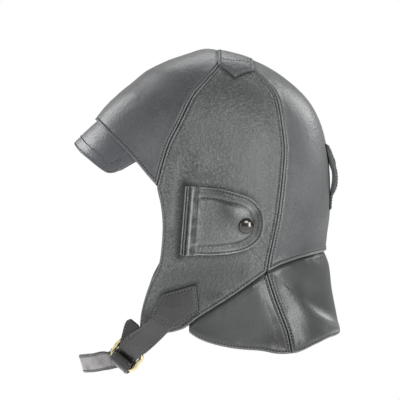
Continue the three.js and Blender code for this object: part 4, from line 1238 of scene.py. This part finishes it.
def tabPiece(name):
    table = np.array(goggleTab["faces"], float)
    inner, outer = (curveThrough(table[:, (0, i)], 70) for i in (1, 2))
    half = goggleTab["width"] / 2
    x = half - stations(goggleTab["width"], 6)
    top, bottom = (
        np.stack(np.broadcast_arrays(x[None], line[:, 1:], line[:, :1]), -1) for line in (outer, inner)
    )
    length = lengthsOf(outer)[-1]
    fromStart = np.linspace(0, length, len(outer))[:, None]
    away = np.minimum(np.minimum(half - abs(x), half), np.minimum(fromStart, length - fromStart))
    rise = curveValue(straps["rim"], away) + 0.2 * softNoise(top, 15, 83)
    out = unit(np.cross(np.gradient(top, axis=0), (-1, 0, 0)))
    for inset in (goggleTab["row"], goggleTab["width"] - goggleTab["row"]):
        column = np.argmin(abs(half - inset - x))
        lift = rise[:, column] + stitching["sink"]
        addRow((top[:, column] + out[:, column] * lift[:, None])[3:-3], out[3:-3, column])
    return sheetPiece(name, top + out * rise[..., None], bottom, curveValue(straps["rimDark"], away))


made = tabPiece("goggleTab")
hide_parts("goggle_tab")
seat = np.array((0, *goggleTab["snap"]), float)
made = domePiece("goggleTabSnap", seat, goggleTab["out"], goggleTab["radius"], goggleTab["height"],
                 goggleTab["rim"])
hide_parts("goggle_tab_snap")
print("tab at the back made")


# materials
def nodeMaterial(name):
    material = bpy.data.materials.new(name)
    material.use_nodes = True
    tree = material.node_tree
    tree.nodes.clear()
    out = tree.nodes.new("ShaderNodeOutputMaterial")
    shader = tree.nodes.new("ShaderNodeBsdfPrincipled")
    tree.links.new(shader.outputs[0], out.inputs[0])
    return material, tree, shader


def noiseIn(tree, scale, detail=2, roughness=0.55):
    place = tree.nodes.new("ShaderNodeTexCoord")
    made = tree.nodes.new("ShaderNodeTexNoise")
    made.inputs["Scale"].default_value = scale
    made.inputs["Detail"].default_value = detail
    made.inputs["Roughness"].default_value = roughness
    tree.links.new(place.outputs["Object"], made.inputs["Vector"])
    return made.outputs["Fac"]


def remapIn(tree, value, low, high, fromLow=0.3, fromHigh=0.7):
    made = tree.nodes.new("ShaderNodeMapRange")
    tree.links.new(value, made.inputs["Value"])
    for key, number in (("From Min", fromLow), ("From Max", fromHigh), ("To Min", low), ("To Max", high)):
        made.inputs[key].default_value = number
    return made.outputs["Result"]


def mixIn(tree, first, second, amount):   # each of the two is a colour or a socket
    made = tree.nodes.new("ShaderNodeMix")
    made.data_type = "RGBA"
    for socket, value in ((made.inputs[6], first), (made.inputs[7], second)):
        if isinstance(value, tuple):
            socket.default_value = (*value, 1)
        else:
            tree.links.new(value, socket)
    tree.links.new(amount, made.inputs[0])
    return made.outputs[2]


def times(amount, colour):
    return tuple(amount * v for v in colour)


# colour, share of pale and dark specks, how much paler its painted highlights are, height of the grain and of
# the wrinkles, roughness at its least and its most, and the gloss of the coat
leatherLook = {
    "crown": {"colour": (0.073, 0.0755, 0.079), "speck": 0.28, "paintedHighlight": 1.9, "grain": 0.3, "wrinkle": 0.22,
              "rough": (0.36, 0.44), "gloss": 0.3},
    "back": {"colour": (0.078, 0.0800, 0.0815), "speck": 0.18, "paintedHighlight": 2.2, "grain": 0.25, "wrinkle": 0.2,
             "rough": (0.33, 0.41), "gloss": 0.35},
    "side": {"colour": (0.071, 0.074, 0.074), "speck": 0.62, "paintedHighlight": 1.9, "grain": 1.0, "wrinkle": 0.25,
             "rough": (0.28, 0.38), "gloss": 0.5},
    "cover": {"colour": (0.067, 0.069, 0.069), "speck": 0.5, "paintedHighlight": 3.4, "grain": 1.0, "wrinkle": 0.35,
              "rough": (0.26, 0.34), "gloss": 0.6},
    "curtain": {"colour": (0.042, 0.0435, 0.0435), "speck": 0.12, "paintedHighlight": 3.2, "grain": 0.12,
                "wrinkle": 0.03, "rough": (0.30, 0.36), "gloss": 0.42},
    "visor": {"colour": (0.070, 0.073, 0.080), "speck": 0.15, "paintedHighlight": 1.8, "grain": 0.2, "wrinkle": 0.2,
              "rough": (0.34, 0.44), "gloss": 0.25},
    "patch": {"colour": (0.029, 0.029, 0.029), "speck": 0.2, "paintedHighlight": 2.6, "grain": 0.3, "wrinkle": 0.3,
              "rough": (0.36, 0.46), "gloss": 0.25},
    "strap": {"colour": (0.031, 0.0305, 0.0297), "speck": 0.2, "paintedHighlight": 3.4, "grain": 0.2, "wrinkle": 0.2,
              "rough": (0.28, 0.38), "gloss": 0.6},
    "tab": {"colour": (0.020, 0.020, 0.021), "speck": 0.2, "paintedHighlight": 2.4, "grain": 0.2, "wrinkle": 0.2,
            "rough": (0.30, 0.40), "gloss": 0.5},
}
paintedSheenTone = (0.37, 0.345, 0.355)   # painted sheen on the strap's face
# colour of the painted shade
paintedShadeTone = (0.004, 0.004, 0.004)


def leatherMaterial(name, look):
    material, tree, shader = nodeMaterial(name)

    def attribute(key):
        made = tree.nodes.new("ShaderNodeAttribute")
        made.attribute_name = key
        return made.outputs["Fac"]

    def bump(height, strength, distance, before=None):
        made = tree.nodes.new("ShaderNodeBump")
        made.inputs["Strength"].default_value = strength
        made.inputs["Distance"].default_value = distance
        tree.links.new(height, made.inputs["Height"])
        if before is not None:
            tree.links.new(before, made.inputs["Normal"])
        return made.outputs["Normal"]

    cloud, fleck, patchy = noiseIn(tree, 26, 3), noiseIn(tree, 560), noiseIn(tree, 17)
    groove, worn = attribute("groove"), attribute("worn")
    colour, speck = look["colour"], look["speck"]
    tone = mixIn(tree, times(0.80, colour), times(1.20, colour), remapIn(tree, cloud, 0, 1))
    specked = mixIn(tree, tone, times(1 + 2 * speck, colour), remapIn(tree, fleck, 0, 0.7, 0.5, 0.68))
    specked = mixIn(tree, specked, times(1 - speck, colour), remapIn(tree, fleck, 0.8, 0, 0.32, 0.5))
    tone = mixIn(tree, tone, specked, remapIn(tree, patchy, 0.2, 1, 0.4, 0.6))
    # painted highlight where the shade mark is below 0
    tone = mixIn(tree, tone, times(look["paintedHighlight"], colour), remapIn(tree, groove, 1, 0, -1, 0))
    # painted sheen
    tone = mixIn(tree, tone, paintedSheenTone, worn)
    # painted shade where the shade mark is above 0
    tone = mixIn(tree, tone, paintedShadeTone, remapIn(tree, groove, 0, 0.95, 0, 1))
    tree.links.new(tone, shader.inputs["Base Color"])

    rough = tree.nodes.new("ShaderNodeMath")
    rough.operation = "ADD"
    tree.links.new(remapIn(tree, cloud, *look["rough"]), rough.inputs[0])
    tree.links.new(remapIn(tree, groove, -0.08, 0.4, -0.5, 1), rough.inputs[1])
    tree.links.new(rough.outputs[0], shader.inputs["Roughness"])
    shader.inputs["Coat Weight"].default_value = look["gloss"]
    shader.inputs["Coat Roughness"].default_value = 0.24

    place = tree.nodes.new("ShaderNodeTexCoord")
    pebble = tree.nodes.new("ShaderNodeTexVoronoi")
    pebble.inputs["Scale"].default_value = 520
    tree.links.new(place.outputs["Object"], pebble.inputs["Vector"])
    grain = tree.nodes.new("ShaderNodeMath")
    grain.operation = "MULTIPLY_ADD"
    grain.inputs[1].default_value = 0.7
    tree.links.new(pebble.outputs["Distance"], grain.inputs[0])
    tree.links.new(noiseIn(tree, 560, 3), grain.inputs[2])
    wrinkles = bump(noiseIn(tree, 130, 5, 0.62), look["wrinkle"], 0.0022)
    tree.links.new(bump(grain.outputs[0], look["grain"], 0.0009, wrinkles), shader.inputs["Normal"])
    coat = bump(noiseIn(tree, 260, 4, 0.6), look["grain"], 0.0008, wrinkles)
    tree.links.new(coat, shader.inputs["Coat Normal"])
    return material


metalLook = {
    "brass": {"colour": (0.74, 0.63, 0.38), "rough": 0.28, "wear": 0.7},
    "snap": {"colour": (0.105, 0.10, 0.094), "rough": 0.17, "wear": 0.8},
}


def metalMaterial(name, look):
    material, tree, shader = nodeMaterial(name)
    noise = noiseIn(tree, 420, 4, 0.5)
    tone = mixIn(tree, look["colour"], times(look["wear"], look["colour"]), noise)
    tree.links.new(tone, shader.inputs["Base Color"])
    rough = remapIn(tree, noise, look["rough"] * 0.8, look["rough"] * 1.3, 0, 1)
    tree.links.new(rough, shader.inputs["Roughness"])
    shader.inputs["Metallic"].default_value = 1.0
    return material


leathers = {name: leatherMaterial(name + "Leather", look) for name, look in leatherLook.items()}
brass = metalMaterial("oldBrass", metalLook["brass"])
gunmetal = metalMaterial("darkSnapMetal", metalLook["snap"])
pieceLooks = {
    "frontPanel": leathers["crown"], "backPanel": leathers["back"], "crownPatch": leathers["crown"],
    "sidePanel": leathers["side"], "curtain": leathers["curtain"], "visorLeather": leathers["visor"],
    "earCover": leathers["cover"], "strapPatch": leathers["patch"], "buckleStrap": leathers["strap"],
    "chinStrap": leathers["strap"], "goggleTab": leathers["tab"], "buckleFrame": brass,
    "earSnap": gunmetal, "goggleTabSnap": gunmetal,
}
for piece in bpy.context.scene.objects:
    fitting = [name for name in pieceLooks if piece.name.startswith(name)]
    if piece.type == "MESH" and fitting:
        piece.data.materials.clear()
        piece.data.materials.append(pieceLooks[max(fitting, key=len)])
        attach(piece, "root")
print("materials set")


# thread
threadLook = {"colours": ((0.09, 0.09, 0.093), (0.15, 0.15, 0.153)), "rough": 0.6}


def threadMaterial():
    material, tree, shader = nodeMaterial("blackThread")
    tone = mixIn(tree, *threadLook["colours"], noiseIn(tree, 900, 2, 0.5))
    tree.links.new(tone, shader.inputs["Base Color"])
    shader.inputs["Roughness"].default_value = threadLook["rough"]
    return material


def stitchTree(material):
    tree = bpy.data.node_groups.new("stitchRow", "GeometryNodeTree")
    tree.is_modifier = True
    face = tree.interface
    face.new_socket("Geometry", in_out="INPUT", socket_type="NodeSocketGeometry")
    for name in ("pitch", "length", "thickness"):
        face.new_socket(name, in_out="INPUT", socket_type="NodeSocketFloat")
    face.new_socket("Geometry", in_out="OUTPUT", socket_type="NodeSocketGeometry")
    nodes = tree.nodes
    given, result = nodes.new("NodeGroupInput"), nodes.new("NodeGroupOutput")
    curve = nodes.new("GeometryNodeMeshToCurve")
    resample = nodes.new("GeometryNodeResampleCurve")
    resample.mode = "LENGTH"
    tangent = nodes.new("GeometryNodeInputTangent")
    outward = nodes.new("GeometryNodeInputNamedAttribute")
    outward.data_type = "FLOAT_VECTOR"
    outward.inputs["Name"].default_value = "outward"
    first, second = (nodes.new("FunctionNodeAlignRotationToVector") for _ in range(2))
    first.axis, second.axis, second.pivot_axis = "X", "Z", "X"
    ball = nodes.new("GeometryNodeMeshUVSphere")
    ball.inputs["Segments"].default_value = 6
    ball.inputs["Rings"].default_value = 5
    ball.inputs["Radius"].default_value = 0.5
    size = nodes.new("ShaderNodeCombineXYZ")
    shape = nodes.new("GeometryNodeTransform")
    smooth = nodes.new("GeometryNodeSetShadeSmooth")
    spread = nodes.new("GeometryNodeInstanceOnPoints")
    real = nodes.new("GeometryNodeRealizeInstances")
    finish = nodes.new("GeometryNodeSetMaterial")
    finish.inputs["Material"].default_value = material
    for source, output, target, socket in (
        (given, "Geometry", curve, "Mesh"), (curve, "Curve", resample, "Curve"),
        (given, "pitch", resample, "Length"), (tangent, "Tangent", first, "Vector"),
        (first, "Rotation", second, "Rotation"), (outward, "Attribute", second, "Vector"),
        (given, "length", size, "X"), (given, "thickness", size, "Y"), (given, "thickness", size, "Z"),
        (ball, "Mesh", shape, "Geometry"), (size, "Vector", shape, "Scale"),
        (shape, "Geometry", smooth, "Geometry"), (resample, "Curve", spread, "Points"),
        (smooth, "Geometry", spread, "Instance"), (second, "Rotation", spread, "Rotation"),
        (spread, "Instances", real, "Geometry"), (real, "Geometry", finish, "Geometry"),
        (finish, "Geometry", result, "Geometry"),
    ):
        tree.links.new(source.outputs[output], target.inputs[socket])
    return tree


def sewRows(rows):
    points = np.vstack([row[0] for row in rows]) * mm
    outward = np.vstack([row[1] for row in rows])
    lines = []
    start = 0
    for row in rows:
        lines += [(i, i + 1) for i in range(start, start + len(row[0]) - 1)]
        start += len(row[0])
    mesh = bpy.data.meshes.new("stitchLines")
    mesh.from_pydata(points.tolist(), lines, [])
    mark = mesh.attributes.new("outward", "FLOAT_VECTOR", "POINT")
    mark.data.foreach_set("vector", outward.ravel().astype(np.float32))
    guide = bpy.data.objects.new("stitchGuide", mesh)
    bpy.context.collection.objects.link(guide)
    sewing = guide.modifiers.new("stitches", "NODES")
    tree = stitchTree(threadMaterial())
    sewing.node_group = tree
    for item in tree.interface.items_tree:
        if item.in_out == "INPUT" and item.name in stitching:
            sewing[item.identifier] = stitching[item.name] * mm
    ready = guide.evaluated_get(bpy.context.evaluated_depsgraph_get())
    sewn = bpy.data.objects.new("stitches", bpy.data.meshes.new_from_object(ready))
    bpy.data.objects.remove(guide)
    bpy.context.collection.objects.link(sewn)
    return sewn


stitches = sewRows(stitchRows)
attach(stitches, "root")
print("stitches sewn, triangles:", sum(len(p.vertices) - 2 for p in stitches.data.polygons))


# floor, backdrop and light
studio = {
    "floorDrop": 1.5,        # m below the helmet's top
    "floorReach": 9,         # m from its middle
    "floorPaint": (0.85, 0.85, 0.85),
    "floorGlow": 0.85,
    "backdrop": 1.0,
    "surround": 0.34,
    "surroundTint": (0.97, 0.985, 1),
    "aim": (0, 0, -0.12),
    # place, width, height and strength of each soft light
    "lights": [
        ((1.45, 1.217, -0.02), 0.45, 0.95, 15.0),
        ((1.68, 0.5, 0.62), 0.8, 0.5, 10.5),
        ((1.33, -1.33, 0.05), 0.8, 0.8, 3.5),
        ((-0.944, -1.348, 0.83), 1.0, 1.0, 16.0),
        ((-0.944, 1.348, 0.83), 1.0, 1.0, 13.0),
        ((-1.2, 0, 1.4), 1.2, 1.0, 11.0),
    ],
}


def softLight(place, width, height, strength):
    data = bpy.data.lights.new("softbox", "AREA")
    data.shape = "RECTANGLE"
    data.size, data.size_y = width, height
    data.energy = strength
    lamp = bpy.data.objects.new("softbox", data)
    bpy.context.collection.objects.link(lamp)
    lamp.location = place
    lamp.rotation_euler = (Vector(studio["aim"]) - Vector(place)).to_track_quat("-Z", "Y").to_euler()


for row in studio["lights"]:
    softLight(*row)
world = bpy.data.worlds.new("paleStudio")
bpy.context.scene.world = world
world.use_nodes = True
worldNodes, worldLinks = world.node_tree.nodes, world.node_tree.links
worldNodes.clear()
worldOut = worldNodes.new("ShaderNodeOutputWorld")
seen, lit = worldNodes.new("ShaderNodeBackground"), worldNodes.new("ShaderNodeBackground")
seen.inputs["Strength"].default_value = studio["backdrop"]
lit.inputs["Strength"].default_value = studio["surround"]
seen.inputs["Color"].default_value = (1, 1, 1, 1)
lit.inputs["Color"].default_value = (*studio["surroundTint"], 1)
path, mixWorld = worldNodes.new("ShaderNodeLightPath"), worldNodes.new("ShaderNodeMixShader")
worldLinks.new(path.outputs["Is Camera Ray"], mixWorld.inputs[0])
worldLinks.new(lit.outputs[0], mixWorld.inputs[1])
worldLinks.new(seen.outputs[0], mixWorld.inputs[2])
worldLinks.new(mixWorld.outputs[0], worldOut.inputs[0])

floorMesh = bpy.data.meshes.new("paleFloor")
reach, corners = studio["floorReach"], 48
around = np.linspace(0, 2 * pi, corners, endpoint=False)
ring = [(reach * cos(a), reach * sin(a), -studio["floorDrop"]) for a in around]
floorMesh.from_pydata(ring, [], [tuple(range(corners))])
floor = bpy.data.objects.new("paleFloor", floorMesh)
bpy.context.collection.objects.link(floor)
floorLook, _, floorShader = nodeMaterial("paleFloorPaint")
floorShader.inputs["Base Color"].default_value = (*studio["floorPaint"], 1)
floorShader.inputs["Roughness"].default_value = 0.9
floorShader.inputs["Emission Color"].default_value = (1, 1, 1, 1)
floorShader.inputs["Emission Strength"].default_value = studio["floorGlow"]
floorMesh.materials.append(floorLook)
floor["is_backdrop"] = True
bpy.context.scene.view_settings.view_transform = "Standard"
print("studio set")

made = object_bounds()
print("visual box", [[round(v, 4) for v in corner] for corner in made])
